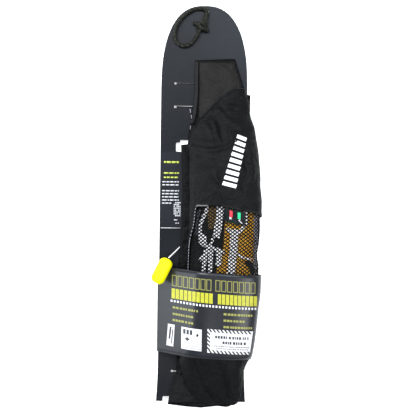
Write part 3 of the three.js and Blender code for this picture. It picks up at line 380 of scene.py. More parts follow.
ink_white = ink("ink_white", (0.52, 0.53, 0.56), (0.68, 0.69, 0.72))
ink_lime = ink("ink_lime", (0.40, 0.46, 0.06), (0.5, 0.56, 0.09))
LEAFLET_FACE = 2.1
PRINT_LIFT = 0.12
PRINT_THICK = 0.08
BAR_GAP = 0.9


def slab(corners, low, high):
    """Points, faces and flat places of a thin flat piece with these corners, from low to high."""
    points = [on_card(x, y, z) for z in (low, high) for x, y in corners]
    sides = [(0, 3, 2, 1), (4, 5, 6, 7)] + [(k, (k + 1) % 4, (k + 1) % 4 + 4, k + 4) for k in range(4)]
    return points, sides, [(p.x, p.y) for p in points]


def flat_print(x0, x1, y0, y1):
    face = LEAFLET_FACE + PRINT_LIFT
    return slab([(x0, y0), (x1, y0), (x1, y1), (x0, y1)], face - PRINT_THICK, face)


def print_row(x0, x1, y, tall, seed):
    """A row of short plain bars with small gaps, from x0 to x1."""
    chance = random.Random(seed)
    bars = []
    while x0 < x1 - 1.5:
        end = min(x1, x0 + chance.uniform(2.2, 7.0))
        bars.append(flat_print(x0, end, y, y + tall))
        x0 = end + BAR_GAP
    return bars


lime = print_row(-55, -34, 331.5, 2.6, 1)
lime += print_row(-55, -33, 316.5, 2.0, 2) + print_row(-55, -34, 310.5, 2.0, 3)
joined("leaflet_bars_lime", lime, ink_lime)
WHITE_ROWS = [(-34, 304.5), (-33, 300.2), (-33.5, 292), (-34.5, 287.8), (-33.5, 283.4), (-33.5, 279),
              (-44, 274.7)]
white = []
for k, (reach, y) in enumerate(WHITE_ROWS):
    white += print_row(-57, reach, y, 1.5, 10 + k)
white += print_row(-40, -33, 251.5, 1.3, 30) + print_row(-38, -33, 247, 1.3, 31)
white.append(flat_print(-58.5, -31, 240.4, 241.2))
joined("leaflet_bars_white", white, ink_white)
block = [flat_print(-40.5 + 2.0 * i, -39.1 + 2.0 * i, 257 + 2.6 * j, 258.9 + 2.6 * j)
         for i in range(5) for j in range(8) if (i * 3 + j * 5) % 7]
joined("leaflet_block", block, ink_white)

# Each lip's face height and corners. The dark lips are partly a painted shadow in the slits.
SLIT_SHADE_LIPS = [
    (1.05, [(-38.4, 442.2), (-12, 442.2), (-12, 443.45), (-38.4, 443.4)]),
    (1.05, [(-38.6, 408.9), (-12, 408.9), (-12, 410.55), (-38.6, 411.3)]),
    (1.15, [(-16.4, 410.3), (-12, 410.3), (-12, 411.9), (-16.4, 411.9)]),
]
joined("slit_lip", [slab(corners, 0.3, face) for face, corners in SLIT_SHADE_LIPS], leaflet_paper)

# ---- Waist belt ----
# Woven webbing goes round the card through its slits and is closed behind it by a flat
# buckle. The weave's ribs run across, and the edges are rounded.
BELT_WIDTH = 38
BELT_THICK = 1.6
BELT_AXIS = 14
CARD_MIDPLANE = 0.5
BELT_REACH = CARD_MIDPLANE + 0.3 + BELT_THICK / 2
UPPER_TURN, LOWER_TURN = 442.3, 41.4
BELT_ENDS = (344.2, 299.6)
CURL_LENGTH = 48
CURL_RISE = 6


def curled(x, y, z):
    """Place on the card, which curls up towards its foot with all that lies on it."""
    return on_card(x, y, z + CURL_RISE * max(0.0, (CURL_LENGTH - y) / CURL_LENGTH) ** 2)


def webbing(name, along, across, thickness, material, stands_for=()):
    """Flat woven strap with rounded edges. along gives (point, outward, sideways) and across its width."""
    points, flat = [], []
    half = across / 2 * MM
    thin = thickness / 2 * MM
    ring = [(-1, -0.5), (-0.96, -1), (-0.5, -1), (0, -1), (0.5, -1), (0.96, -1), (1, -0.5)]
    ring += [(-share, -level) for share, level in ring]
    run = 0.0
    for k, (point, outward, sideways) in enumerate(along):
        run += (point - along[k - 1][0]).length if k else 0.0
        for share, level in ring:
            points.append(point + sideways * (half * share) + outward * (thin * level))
            flat.append((half * share, run))
    return piece(name, points, tube_faces(len(along), len(ring)), material, stands_for, flat)


def belt_turn(y, start):
    """Half a turn of the belt round the card's material at y."""
    turns = [start + math.pi * k / 12 for k in range(13)]
    return [(y + BELT_REACH * math.cos(a), CARD_MIDPLANE + BELT_REACH * math.sin(a), a) for a in turns]


belt_cloth = woven("belt_cloth", (0.006, 0.006, 0.0065), (0.013, 0.013, 0.014), 3500, 2200, 1.0, roughness=0.75,
                   grain=90.0, specular_ior_level=0.2)
path = [(BELT_ENDS[0], CARD_MIDPLANE - BELT_REACH, -math.pi / 2)] + belt_turn(UPPER_TURN, -math.pi / 2)
for k in range(1, 60):
    path.append((UPPER_TURN + (LOWER_TURN - UPPER_TURN) * k / 60, CARD_MIDPLANE + BELT_REACH, math.pi / 2))
path += belt_turn(LOWER_TURN, math.pi / 2) + [(BELT_ENDS[1], CARD_MIDPLANE - BELT_REACH, -math.pi / 2)]
belt_way = [(curled(BELT_AXIS, y, z), Vector((0, math.cos(a), math.sin(a))), Vector((1, 0, 0)))
            for y, z, a in path]
webbing("waist_belt_webbing", belt_way, BELT_WIDTH, BELT_THICK, belt_cloth, ("waist_belt",))
buckle_plastic, tree, surface = start_material("buckle_plastic", base_color=(0.012, 0.012, 0.014))
roughen(tree, surface, tree.nodes.new("ShaderNodeTexCoord").outputs["Object"], 1800.0, 0.2, rough=(0.35, 0.6))
dress("belt_buckle", buckle_plastic)

# ---- Pouch cloth ----
# The pouch is sewn from black coated nylon. Its form is given row by row up the pouch:
# how far along, the left side, right bulge and right foot, crown and squareness.
PACK_START = -6.9
PACK_LENGTH = 484.4
PACK_AXIS = 16
PACK_HALF = 48
PACK_DEPTH = 42
PANEL_TOP = 5.3
LEFT_BULGE, RIGHT_BULGE = 0.34, 0.46
FOOT_IN = 1.5
FLOOR_ROOM = 0.3
PAD_ROOM = 0.75
PAD_EDGE = 0.8
PAD_WIDTH = 0.95
FORM = [
    (0.0095, 0.0, 0.625, 0.562, 0.145, 1.7), (0.0153, 0.25, 0.719, 0.625, 0.165, 1.7),
    (0.0287, 0.492, 0.792, 0.688, 0.222, 1.8), (0.0483, 0.667, 0.833, 0.729, 0.315, 1.9),
    (0.0762, 0.785, 0.871, 0.75, 0.46, 2.0), (0.1051, 0.875, 0.906, 0.771, 0.605, 2.1),
    (0.1299, 0.929, 0.979, 0.792, 0.719, 2.2), (0.1505, 0.927, 1.088, 0.792, 0.79, 2.3),
    (0.2124, 0.854, 1.188, 0.792, 0.886, 2.4), (0.2826, 0.781, 1.254, 0.792, 0.933, 2.5),
    (0.3404, 0.74, 1.317, 0.792, 0.96, 2.6), (0.4065, 0.725, 1.329, 0.792, 0.974, 2.6),
    (0.4395, 0.721, 1.283, 0.792, 0.981, 2.6), (0.4808, 0.721, 1.338, 0.792, 0.981, 2.6),
    (0.5469, 0.713, 1.352, 0.792, 0.976, 2.6), (0.6026, 0.713, 1.338, 0.792, 0.96, 2.6),
    (0.679, 0.729, 1.292, 0.792, 0.902, 2.5), (0.7223, 0.74, 1.244, 0.792, 0.85, 2.4),
    (0.7636, 0.737, 1.181, 0.802, 0.755, 2.3), (0.7946, 0.656, 1.131, 0.833, 0.655, 2.1),
    (0.8214, 0.427, 1.054, 0.854, 0.54, 2.0), (0.84, 0.244, 1.004, 0.865, 0.46, 1.9),
    (0.864, 0.075, 0.958, 0.865, 0.362, 1.8), (0.8875, -0.183, 0.917, 0.854, 0.275, 1.7),
    (0.9019, -0.354, 0.885, 0.833, 0.228, 1.7), (0.9116, -0.562, 0.854, 0.792, 0.205, 1.7),
]
UPPER_PAD = ([(0.768, 0.5, 0.71), (0.9158, 0.5, 0.735), (0.992, 0.5, 0.53)], 5)
LOWER_PAD = ([(0.012, 1.21, 0.63), (0.0452, 1.13, 0.775), (0.0972, 0.99, 0.8), (0.14, 0.97, 0.82)], 3)


def value_at(rows, along, column, smooth=True):
    last = len(rows) - 1
    i = 0
    while i < last - 1 and along > rows[i + 1][0]:
        i += 1
    (a0, a), (b0, b) = ((rows[k][0], rows[k][column]) for k in (i, i + 1))
    t = min(1.0, max(0.0, (along - a0) / (b0 - a0)))
    if not smooth:
        return a + (b - a) * t

    def slope(k):
        before, after = ((rows[n + 1][column] - rows[n][column]) / (rows[n + 1][0] - rows[n][0])
                         for n in (k - 1, k))
        return 2 * before * after / (before + after) if before * after > 0 else 0.0

    run = b0 - a0
    m0 = slope(i) * run if i else b - a
    m1 = slope(i + 1) * run if i + 1 < last else b - a
    d = b - a
    return a + m0 * t + (3 * d - 2 * m0 - m1) * t * t + (m0 + m1 - 2 * d) * t ** 3


def pillow(share, height):
    return PAD_EDGE + (height - PAD_EDGE) * max(0.0, 1 - share ** 4)


def pad_sides(rows, along):
    left, right = (value_at(rows, along, column, False) for column in (1, 2))
    return PACK_AXIS - PACK_HALF * left, PACK_AXIS + PACK_HALF * right


def floor_under(x, y):
    """Height that the pouch stands on at x, y: the back panel, or a padded end on it."""
    along = (y - PACK_START) / PACK_LENGTH
    for rows, height in (UPPER_PAD, LOWER_PAD):
        if rows[0][0] - 0.004 <= along <= rows[-1][0] + 0.004:
            left, right = pad_sides(rows, along)
            share = PAD_WIDTH * (2 * x - left - right) / (right - left)
            if abs(share) < 1:
                return PANEL_TOP + PAD_ROOM + pillow(share, height)
    return PANEL_TOP + FLOOR_ROOM


def form_at(y, inset):
    """The pouch's section at y, as far inside its face as inset says."""
    along = (y - PACK_START) / PACK_LENGTH
    left, right, foot, crown, box = (value_at(FORM, along, column) for column in range(1, 6))
    left = PACK_AXIS - PACK_HALF * left
    right = PACK_AXIS + PACK_HALF * right
    foot = PACK_AXIS + PACK_HALF * foot
    return {
        "left": left + inset, "left_foot": left + inset + FOOT_IN,
        "right": right - inset, "foot": foot - FOOT_IN * min(1, inset),
        "middle": (left + right) / 2, "crown": PANEL_TOP + PACK_DEPTH * crown - inset, "box": box,
        "left_floor": floor_under(left + FOOT_IN, y), "right_floor": floor_under(foot, y) + inset,
    }


def between(a, b, share):
    return a + (b - a) * share


def across_form(f, turn):
    """x and z of the pouch's section: turn runs from 0 at its left foot, over the crown at 2, to 4."""
    left_bulge = between(f["left_floor"], f["crown"], LEFT_BULGE)
    right_bulge = between(f["right_floor"], f["crown"], RIGHT_BULGE)
    quarter = min(int(turn), 3)
    angle = (turn - quarter) * math.pi / 2
    s, c = math.sin(angle), max(0.0, math.cos(angle))
    power = 2 / f["box"]
    if quarter == 0:
        return between(f["left_foot"], f["left"], s), between(left_bulge, f["left_floor"], c)
    if quarter == 1:
        return between(f["middle"], f["left"], c ** power), between(left_bulge, f["crown"], s ** power)
    if quarter == 2:
        return between(f["middle"], f["right"], s ** power), between(right_bulge, f["crown"], c ** power)
    return between(f["foot"], f["right"], c), between(right_bulge, f["right_floor"], s)


def steps(first, last, count):
    return [first + (last - first) * k / count for k in range(count + 1)]


def even_steps(line, count):
    """Even steps along a line of points, each as (stretch, share of it), and the line's length."""
    runs = [0.0]
    for a, b in zip(line, line[1:]):
        runs.append(runs[-1] + math.dist(a, b))
    found, k = [], 1
    for i in range(count + 1):
        goal = runs[-1] * i / count
        while k < len(line) - 1 and runs[k] < goal:
            k += 1
        found.append((k - 1, min(1.0, max(0.0, (goal - runs[k - 1]) / max(1e-9, runs[k] - runs[k - 1])))))
    return found, runs[-1]


def even_turns(y, count, first=0.0, last=4.0):
    """Turns at even steps over the pouch's section, and the length of cloth from first to last."""
    f = form_at(y, 0)
    turns = steps(first, last, 120)
    found, girth = even_steps([across_form(f, turn) for turn in turns], count)
    return [between(turns[k], turns[k + 1], share) for k, share in found], girth


def height_at(x, y, inset):
    """Height of the section's upper side at x, y."""
    f = form_at(y, inset)
    on_left = x < f["middle"]
    floor = f["left_floor"] if on_left else f["right_floor"]
    bulge = between(floor, f["crown"], LEFT_BULGE if on_left else RIGHT_BULGE)
    reach = f["left"] if on_left else f["right"]
    share = min(1.0, max(0.0, (x - f["middle"]) / (reach - f["middle"])))
    return between(bulge, f["crown"], max(0.0, 1 - share ** f["box"]) ** (1 / f["box"]))


def turn_at(x, y, inset):
    """The turn at which the section at y crosses x."""
    f = form_at(y, inset)
    low, high = 1.0, 3.0
    for _ in range(24):
        middle = (low + high) / 2
        if across_form(f, middle)[0] < x:
            low = middle
        else:
            high = middle
    return low


def grid(wide, high, start=0):
    """Faces of a grid of points that are given row by row."""
    firsts = [start + j * wide + i for j in range(high - 1) for i in range(wide - 1)]
    return [(a, a + 1, a + wide + 1, a + wide) for a in firsts]


def shell(name, rows, flat, thickness, relief, material, stands_for=()):
    """Closed cloth skin under rows of outer points. relief gives how far the cloth stands out there."""
    high, wide = len(rows), len(rows[0])
    outer, inner = [], []
    for j in range(high):
        for i in range(wide):
            across = rows[j][min(i + 1, wide - 1)] - rows[j][max(i - 1, 0)]
            up = rows[min(j + 1, high - 1)][i] - rows[max(j - 1, 0)][i]
            out = across.cross(up).normalized()
            p = rows[j][i]
            lift = relief(p) * MM if relief else 0.0
            outer.append(p + out * lift)
            inner.append(p + out * (min(lift, 0.0) - thickness * MM))
    size = high * wide
    rim = list(range(wide)) + [j * wide + wide - 1 for j in range(1, high)]
    rim += [(high - 1) * wide + i for i in range(wide - 2, -1, -1)] + [j * wide for j in range(high - 2, 0, -1)]
    faces = grid(wide, high) + grid(wide, high, size)
    faces += [(a, size + a, size + b, b) for a, b in zip(rim, rim[1:] + rim[:1])]
    return piece(name, outer + inner, faces, material, stands_for, flat + flat)


def distance_to(x, y, line):
    best = 1e9
    for (x0, y0), (x1, y1) in zip(line, line[1:]):
        run = (x1 - x0) ** 2 + (y1 - y0) ** 2
        t = min(1.0, max(0.0, ((x - x0) * (x1 - x0) + (y - y0) * (y1 - y0)) / run))
        best = min(best, math.hypot(x - x0 - t * (x1 - x0), y - y0 - t * (y1 - y0)))
    return best


def folds(creases, seed, rumple=0.35, size=26.0):
    """Height in millimetres of named creases (line, rise, width) with a soft rumple over the whole cloth."""
    def relief(p):
        x, y = (p.x - CARD_MIDDLE) / MM, (p.y - CARD_LOW[1]) / MM
        lift = rumple * noise.noise(Vector((x / size, y / size, seed)))
        lift += 0.5 * rumple * noise.noise(Vector((x / size * 2.7, y / size * 2.2, seed + 9)))
        for line, rise, width in creases:
            away = distance_to(x, y, line) / width
            if away < 3:
                lift += rise * math.exp(-away * away)
        return lift
    return relief


pouch_nylon = woven("pouch_nylon", (0.0012, 0.0014, 0.0018), (0.0034, 0.0038, 0.0044), 4200, 4200, 0.6,
                    roughness=0.5, grain=26.0, crinkle=0.36, specular_ior_level=0.1)
wing_nylon = woven("wing_nylon", (0.0045, 0.0042, 0.0041), (0.0100, 0.0094, 0.0090), 4200, 4200, 0.6,
                   roughness=0.55, grain=26.0, crinkle=0.3, specular_ior_level=0.14)
HEM_START = 271.8
HEM_REACH = 60
HEM_SLOPE = (0.41, 21)
HEM_SIDE = [(0.0, 92), (0.10, 88), (0.12, 60), (0.15, 44), (0.19, 27), (0.205, 4), (0.22, 0), (1.0, 0)]


def hem_drop(y, u):
    """Where the cloth cut at y really lies, at share u of its width: the hem drops at both sides."""
    near = min(1.0, max(0.0, 1 - (y - HEM_START) / HEM_REACH))
    start, drop = HEM_SLOPE
    return y - near * near * (drop * max(0.0, (u - start) / (1 - start)) + value_at(HEM_SIDE, u, 1, False))


def pouch_rows(ys, columns, inset, move=lambda y, u: y):
    rows, flat = [], []
    for y in ys:
        turns, girth = even_turns(y, columns)
        row = []
        for i, turn in enumerate(turns):
            here = move(y, i / columns)
            x, z = across_form(form_at(here, inset), turn)
            row.append(curled(x, here, z))
            flat.append((girth * i / columns * MM, here * MM))
        rows.append(row)
    return rows, flat


UPPER_CREASES = [
    ([(-20, 353), (-6, 349.5), (13, 347), (30, 351), (44, 360)], 2.4, 3.0),
    ([(-22, 362), (0, 358), (16, 357)], -1.6, 4.5),
    ([(2, 384), (10, 372), (13, 358)], 2.2, 3.4),
    ([(18, 392), (24, 376), (26, 362)], -1.8, 4.5),
    ([(14, 386), (18, 370), (22, 360)], 1.6, 3.0),
    ([(-14, 372), (-2, 392), (10, 402)], 1.8, 3.6),
    ([(-16, 336), (2, 318), (10, 296)], -1.6, 5.0),
    ([(-8, 344), (12, 330), (20, 306)], 1.4, 4.5),
    ([(20, 404), (32, 390), (48, 382)], 2.0, 4.0),
    ([(62, 296), (68, 320), (64, 346)], 1.6, 4.0),
    ([(54, 300), (58, 326), (54, 350)], -1.2, 5.0),
    ([(-16, 316), (-4, 300), (2, 284)], 1.2, 4.5),
]
LOWER_CREASES = [
    ([(16, 6), (2, 26), (-8, 62)], -2.0, 3.6),
    ([(30, 8), (20, 30), (10, 62)], 1.8, 4.0),
    ([(44, 14), (40, 36), (34, 62)], 1.6, 4.5),
    ([(36, 10), (32, 34), (24, 62)], -1.4, 4.0),
    ([(50, 20), (52, 40), (54, 62)], 1.4, 3.6),
]
COVER_ENDS = [PACK_START + PACK_LENGTH * along for along in (0.0095, 0.9116)]
SLEEVED = 172
COVER_CLOTH = 1.5
rows, flat = pouch_rows(steps(HEM_START, COVER_ENDS[1], 96), 88, 0, hem_drop)
cover_upper = shell("cover_upper_cloth", rows, flat, COVER_CLOTH, folds(UPPER_CREASES, 3.1, 1.0), pouch_nylon,
                    ("cover_upper",))
rows, flat = pouch_rows(steps(COVER_ENDS[0], SLEEVED, 84), 70, 0)
cover_lower = shell("cover_lower_cloth", rows, flat, COVER_CLOTH, folds(LOWER_CREASES, 6.4, 1.0), pouch_nylon,
                    ("cover_lower",))

dark_cord = woven("dark_cord", (0.002, 0.002, 0.002), (0.006, 0.006, 0.006), 12.0, 6.0, 0.4,
                  roughness=0.6, grain=4.0, specular_ior_level=0.2)
upper_edge = [p + Vector((0, 0, 0.3 * MM)) for p in pouch_rows([COVER_ENDS[1]], 60, 0, hem_drop)[0][0]]
joined("cover_upper_piping", [round_line(upper_edge, 0.9 * MM, 8)], dark_cord)
hem_rows, flat = pouch_rows([HEM_START, HEM_START + 1.4, HEM_START + 2.8], 88, -0.4, hem_drop)
hem_tape = woven("hem_tape", (0.005, 0.005, 0.005), (0.011, 0.011, 0.011), 3000, 3000, 0.7,
                 roughness=0.7, grain=90.0, specular_ior_level=0.15)
shell("cover_upper_hem", hem_rows, flat, 0.5, None, hem_tape)
# A pale rolled cord along part of the hem's edge: the rolled edge is cloth, and its pale colour is a painted
# highlight along it.
hem_highlight_tape = woven("hem_highlight_tape", (0.07, 0.075, 0.075), (0.16, 0.165, 0.165), 12.0, 6.0, 0.5,
                  roughness=0.7, grain=4.0)
rolled = [p + Vector((0, 0.6 * MM, 0.2 * MM)) for p in hem_rows[0][19:28]]
joined("hem_roll", [round_line(rolled, 1.0 * MM, 8)], hem_highlight_tape)
STITCH_PITCH, STITCH_LENGTH = 4.2 * MM, 1.7 * MM
side_seam = [p + Vector((0, 0, 0.1 * MM)) for p in hem_rows[0][6:20]]
stitches = []
for a, b in zip(side_seam, side_seam[1:]):
    count = max(1, round((b - a).length / STITCH_PITCH))
    for k in range(count):
        end = min(1.0, k / count + STITCH_LENGTH / (b - a).length)
        stitches.append(round_line([a.lerp(b, k / count), a.lerp(b, end)], 0.45 * MM, 6))
thread_pale = woven("thread_pale", (0.22, 0.21, 0.26), (0.42, 0.41, 0.48), 12.0, 6.0, 0.3,
                    roughness=0.7, grain=4.0)
joined("side_stitches", stitches, thread_pale)

# ---- Reflective blocks ----
# A slanted row of plain reflective blocks is heat-pressed on the cover. They are thin, and
# follow the cloth under them.
reflective = clouded("reflective_white", (0.72, 0.72, 0.76), (0.92, 0.92, 0.94), 260.0, roughness=0.35)


def face_of(mesh):
    return BVHTree.FromPolygons([v.co for v in mesh.vertices], [p.vertices for p in mesh.polygons])


def pressed(corners, face, lift=0.12, across=6, up=6):
    """Thin patch between four corners, given across and up the card, laid on a face from above."""
    points = []
    for j in range(up + 1):
        for i in range(across + 1):
            u, v = i / across, j / up
            shares = ((1 - u) * (1 - v), u * (1 - v), u * v, (1 - u) * v)
            x, y = (sum(share * corner[k] for share, corner in zip(shares, corners)) for k in (0, 1))
            hit = None
            while hit is None:
                hit = face.ray_cast(on_card(x, y, 120), Vector((0, 0, -1)))[0]
                x -= math.copysign(0.5, x)
            points.append(hit + Vector((0, 0, lift * MM)))
    return points, grid(across + 1, up + 1), [(p.x, p.y) for p in points]


# The first block's middle and half width, and what each next one adds
FIRST_BLOCK, NEXT_BLOCK = (35.0, 299, 9.2), (2.0, 8.0, -0.35)
cover_face = face_of(cover_upper.data)
blocks = []
for k in range(9):
    x, y, half = (first + k * more for first, more in zip(FIRST_BLOCK, NEXT_BLOCK))
    corners = [(x - half, y + 1.8), (x + half, y - 2.8), (x + half + 1.6, y + 2.0), (x - half + 1.6, y + 6.6)]
    blocks.append(pressed(corners, cover_face))
joined("reflective_blocks", blocks, reflective)

# ---- Pouch back, padded ends and binding ----
# The back panel is one flat cloth with a flange round the pouch. Its two ends are thinly
# padded, and a folded tape binds the upper end's left edge.
PANEL = [
    (0.0, 1.283, 0.646), (0.0244, 1.242, 0.767), (0.0452, 1.192, 0.821), (0.0741, 1.108, 0.862),
    (0.0972, 1.052, 0.858), (0.1464, 1.058, 0.927), (0.2207, 1.05, 0.958), (0.3962, 1.033, 0.99),
    (0.4622, 0.983, 1.0), (0.5097, 0.933, 1.0), (0.6501, 0.933, 1.0), (0.7512, 0.99, 1.0), (0.7533, 0.792, 1.0),
    (0.7925, 0.763, 1.0), (0.8421, 0.658, 1.004), (0.8957, 0.612, 1.008), (0.8978, 0.61, 0.867),
    (0.9158, 0.608, 0.819), (1.0, 0.61, 0.548),
]
LOWER_EDGE = [(0.0, 0.0078), (0.3, 0.0022), (0.5, 0.0), (0.75, 0.005), (0.9, 0.002), (1.0, 0.0125)]
PANEL_CLOTH = 1.8
PAD_GAP = 0.3
alongs = sorted({a for a, _, _ in PANEL} | {k / 90 for k in range(91)})
rows, flat = [], []
for along in alongs:
    left, right = pad_sides(PANEL, along)
    row = []
    for i in range(25):
        u = i / 24
        rise = value_at(LOWER_EDGE, u, 1, False) * max(0.0, 1 - along / 0.1)
        drop = 0.0056 * (1 - u) * max(0.0, 1 - (1 - along) / 0.08)
        x, y = between(left, right, u), PACK_START + PACK_LENGTH * (along + rise - drop)
        row.append(curled(x, y, PANEL_TOP))
        flat.append((x * MM, y * MM))
    rows.append(row)
back = shell("back_panel_cloth", rows, flat, PANEL_CLOTH, None, pouch_nylon, ("back_panel",))


def padded_end(name, shape, node, cloth):
    form, height = shape
    rows, flat = [], []
    for v in steps(-1, 1, 32):
        along = between(form[0][0], form[-1][0], (v + 1) / 2)
        left, right = pad_sides(form, along)
        rows.append([])
        for u in steps(-1, 1, 32):
            x, y = between(left, right, (u + 1) / 2), PACK_START + PACK_LENGTH * along
            level = min(pillow(u, height), pillow(v, height))
            rows[-1].append(curled(x, y, PANEL_TOP + PAD_GAP + level))
            flat.append((x * MM, y * MM))
    made = shell(name, rows, flat, 0.7, folds([], 2.2, 0.45, 18), cloth, (node,))


padded_end("wing_upper_cloth", UPPER_PAD, "wing_upper", wing_nylon)
padded_end("wing_lower_cloth", LOWER_PAD, "wing_lower", pouch_nylon)
BINDING_WIDTH, BINDING_THICK = 4.6, 3.2
binding_way = []
for along in steps(0.812, 0.99, 40):
    x = pad_sides(PANEL, along)[0] + PAD_GAP + BINDING_WIDTH / 2
    edge = on_card(x, PACK_START + PACK_LENGTH * along, PANEL_TOP + PAD_GAP + BINDING_THICK / 2)
    binding_way.append((edge, Vector((0, 0, 1)), Vector((1, 0, 0))))
webbing("wing_binding_tape", binding_way, BINDING_WIDTH, BINDING_THICK, belt_cloth,
        ("wing_binding",))

LOOSE_ROUTE = [(-19.4, 406.6), (-17.2, 394), (-18.4, 383), (-19.6, 370.5)]
loose_line = on_route([(x, y, PANEL_TOP + 0.5) for x, y in LOOSE_ROUTE], 6)
loose = [round_line(loose_line[k:k + 3], 0.5 * MM, 6) for k in range(0, 16, 4)]
joined("loose_stitches", loose, thread_pale)

# ---- Net ----
# A stretched knitted net with staggered diamond holes closes the pouch's front, and shows
# what is folded behind it. Its strands are thin and dark.
NET_INSET = 3.1
NET_PITCH = 4.7
NET_STRAND = 1.5
NET_COLUMNS = 52
NET_TURNS = (0.1, 3.9)
net_cloth = woven("net_cloth", (0.003, 0.003, 0.0035), (0.009, 0.009, 0.009), 6000, 6000, 0.5, source="Object",
                  roughness=0.8, grain=300.0, specular_ior_level=0.12)
low, high = 178.0, 282.0
count = round((high - low) / NET_PITCH) * 2
points, faces, ids = [], [], {}
for j, y in enumerate(steps(low, high, count)):
    turns, _ = even_turns(y, NET_COLUMNS, *NET_TURNS)
    f = form_at(y, NET_INSET)
    for i in range(j % 2, NET_COLUMNS + 1, 2):
        wave = 0.4 * noise.noise(Vector((i * 0.21, j * 0.17, 4.0)))
        x, z = across_form(f, turns[i])
        ids[i, j] = len(points)
        points.append(curled(x + wave, y + wave, z))
for i, j in ids:
    corners = [(i, j), (i + 1, j + 1), (i, j + 2), (i - 1, j + 1)]
    if all(corner in ids for corner in corners):
        faces.append(tuple(ids[corner] for corner in corners))
net = piece("pouch_net", points, faces, net_cloth, ("mesh_panel",))
strands = net.modifiers.new("strands", "WIREFRAME")
strands.thickness = NET_STRAND * MM
strands.use_even_offset = True
strands.use_boundary = True
net_wide = even_turns((low + high) / 2, NET_COLUMNS, *NET_TURNS)[1] * MM

# ---- Folded bladder and straps ----
# Golden coated cloth lies rolled behind the net, beside a black fold. White and black tapes
# cross it.
FOLD_INSET = 5.65
FOLD_SPLIT = [(62, 26), (165, 16.5), (186, 19.5), (212, 27.5), (246, 29.5), (300, 30.0), (358, 28)]


def bundle(name, on_left, ridges, material, node):
    """Folded cloth that fills one side of the pouch, from the split between the two to its foot."""
    points, flat = [], []
    over, under = 48, 10
    ys = steps(62, 358, 120)
    for y in ys:
        f = form_at(y, FOLD_INSET)
        split = turn_at(value_at(FOLD_SPLIT, y, 1) + (-0.3 if on_left else 0.3), y, FOLD_INSET)
        first, last = (0.0, split) if on_left else (split, 4.0)
        line = [across_form(f, turn) for turn in steps(first, last, over)]
        ring = []
        for i, (x, z) in enumerate(line):
            u = i / over
            ring.append((x, z - math.sin(math.pi * u) ** 0.5 * ridges(x, y, u)))
        base = [(x, floor_under(x, y)) for x in steps(line[-1][0], line[0][0], under)]
        ring += base[:-1] if on_left else base[1:]
        for n, (x, z) in enumerate(ring):
            points.append(curled(x, y, z))
            flat.append((n * 1.6 * MM, y * MM))
    return piece(name, points, tube_faces(len(ys), over + 1 + under), material, (node,), flat)


def gold_ridges(x, y, u):
    wave = math.sin(u * 26 + 0.02 * (y - 200) + 0.8 * noise.noise(Vector((x / 18, y / 30, 1.0))))
    return 0.9 + 0.8 * wave + 0.6 * noise.noise(Vector((x / 9, y / 14, 5.0)))


def dark_ridges(x, y, u):
    return 1.2 + 0.9 * math.sin(0.3 * x + 0.11 * y) + 0.8 * noise.noise(Vector((x / 11, y / 13, 8.0)))


bladder_cloth = woven("bladder_cloth", (0.74, 0.32, 0.006), (0.98, 0.54, 0.02), 3800, 3800, 0.4, roughness=0.45,
                      grain=70.0, coat_weight=0.1)
fold_cloth = woven("fold_cloth", (0.003, 0.0036, 0.0036), (0.010, 0.012, 0.012), 3800, 3800, 0.4, roughness=0.7,
                   grain=70.0, specular_ior_level=0.12)
bundle("bladder_fold", False, gold_ridges, bladder_cloth, "bladder_roll")
bundle("dark_fold", True, dark_ridges, fold_cloth, "inner_fold")


def laid_tape(name, width, shares, material, stands_for=(), thickness=1.2, inset=4.15):
    """Tape on the folded cloth, along places given as shares of the pouch's half width and length."""
    line = through([Vector((PACK_AXIS + PACK_HALF * x, PACK_START + PACK_LENGTH * y, 0)) for x, y in shares], 12)
    along = []
    for k, p in enumerate(line):
        ahead = (line[min(k + 1, len(line) - 1)] - line[max(k - 1, 0)]).normalized()
        aside = Vector((ahead.y, -ahead.x, 0))
        left, right = p - aside * (width / 2), p + aside * (width / 2)
        z0, z, z1 = (height_at(q.x, q.y, inset + thickness / 2) for q in (left, p, right))
        sideways = (Vector((right.x, right.y, z1)) - Vector((left.x, left.y, z0))).normalized()
        outward = sideways.cross(ahead).normalized()
        if outward.z < 0:
            outward = -outward
        along.append((on_card(p.x, p.y, z), outward, sideways))
    return webbing(name, along, width, thickness, material, stands_for)


HEM_TO_SLEEVE = 84.8
STRAPS = {
    "strap_left": (5.0, [(-0.20, -0.04), (-0.232, 0.085), (-0.33, 0.21), (-0.395, 0.33), (-0.385, 0.43),
                         (-0.32, 0.5), (-0.27, 0.57)]),
    "strap_band": (10.0, [(0.165, 0.0), (0.145, 0.2), (0.10, 0.36), (0.05, 0.5)]),
    "strap_cross": (4.4, [(-0.37, 0.6), (-0.2, 0.64), (-0.02, 0.665), (0.17, 0.7), (0.3, 0.73)]),
    "strap_low_left": (5.8, [(-0.22, 0.70), (-0.265, 0.9), (-0.3, 1.13)]),
    "strap_low_right": (6.4, [(-0.085, 0.69), (-0.095, 0.9), (-0.11, 1.13)]),
    "bladder_stripe": (11.0, [(0.565, 0.36), (0.565, 0.5), (0.545, 0.7), (0.51, 0.9), (0.48, 1.13)]),
}


def on_pack(shares):
    return [(x, (HEM_START - HEM_TO_SLEEVE * down - PACK_START) / PACK_LENGTH) for x, down in shares]


tape_white = woven("tape_white", (0.80, 0.80, 0.83), (0.93, 0.93, 0.96), 3000, 2400, 0.9,
                   roughness=0.75, grain=60.0)
tape_grey = woven("tape_grey", (0.30, 0.29, 0.34), (0.48, 0.46, 0.52), 3000, 2400, 0.9,
                  roughness=0.75, grain=60.0)
# A dim copy of the white tape: the tape at the pouch's left side, with painted shade.
tape_painted_shade = woven("tape_painted_shade", (0.035, 0.035, 0.05), (0.09, 0.09, 0.12), 3000, 2400, 0.9,
                   roughness=0.75, grain=90.0)
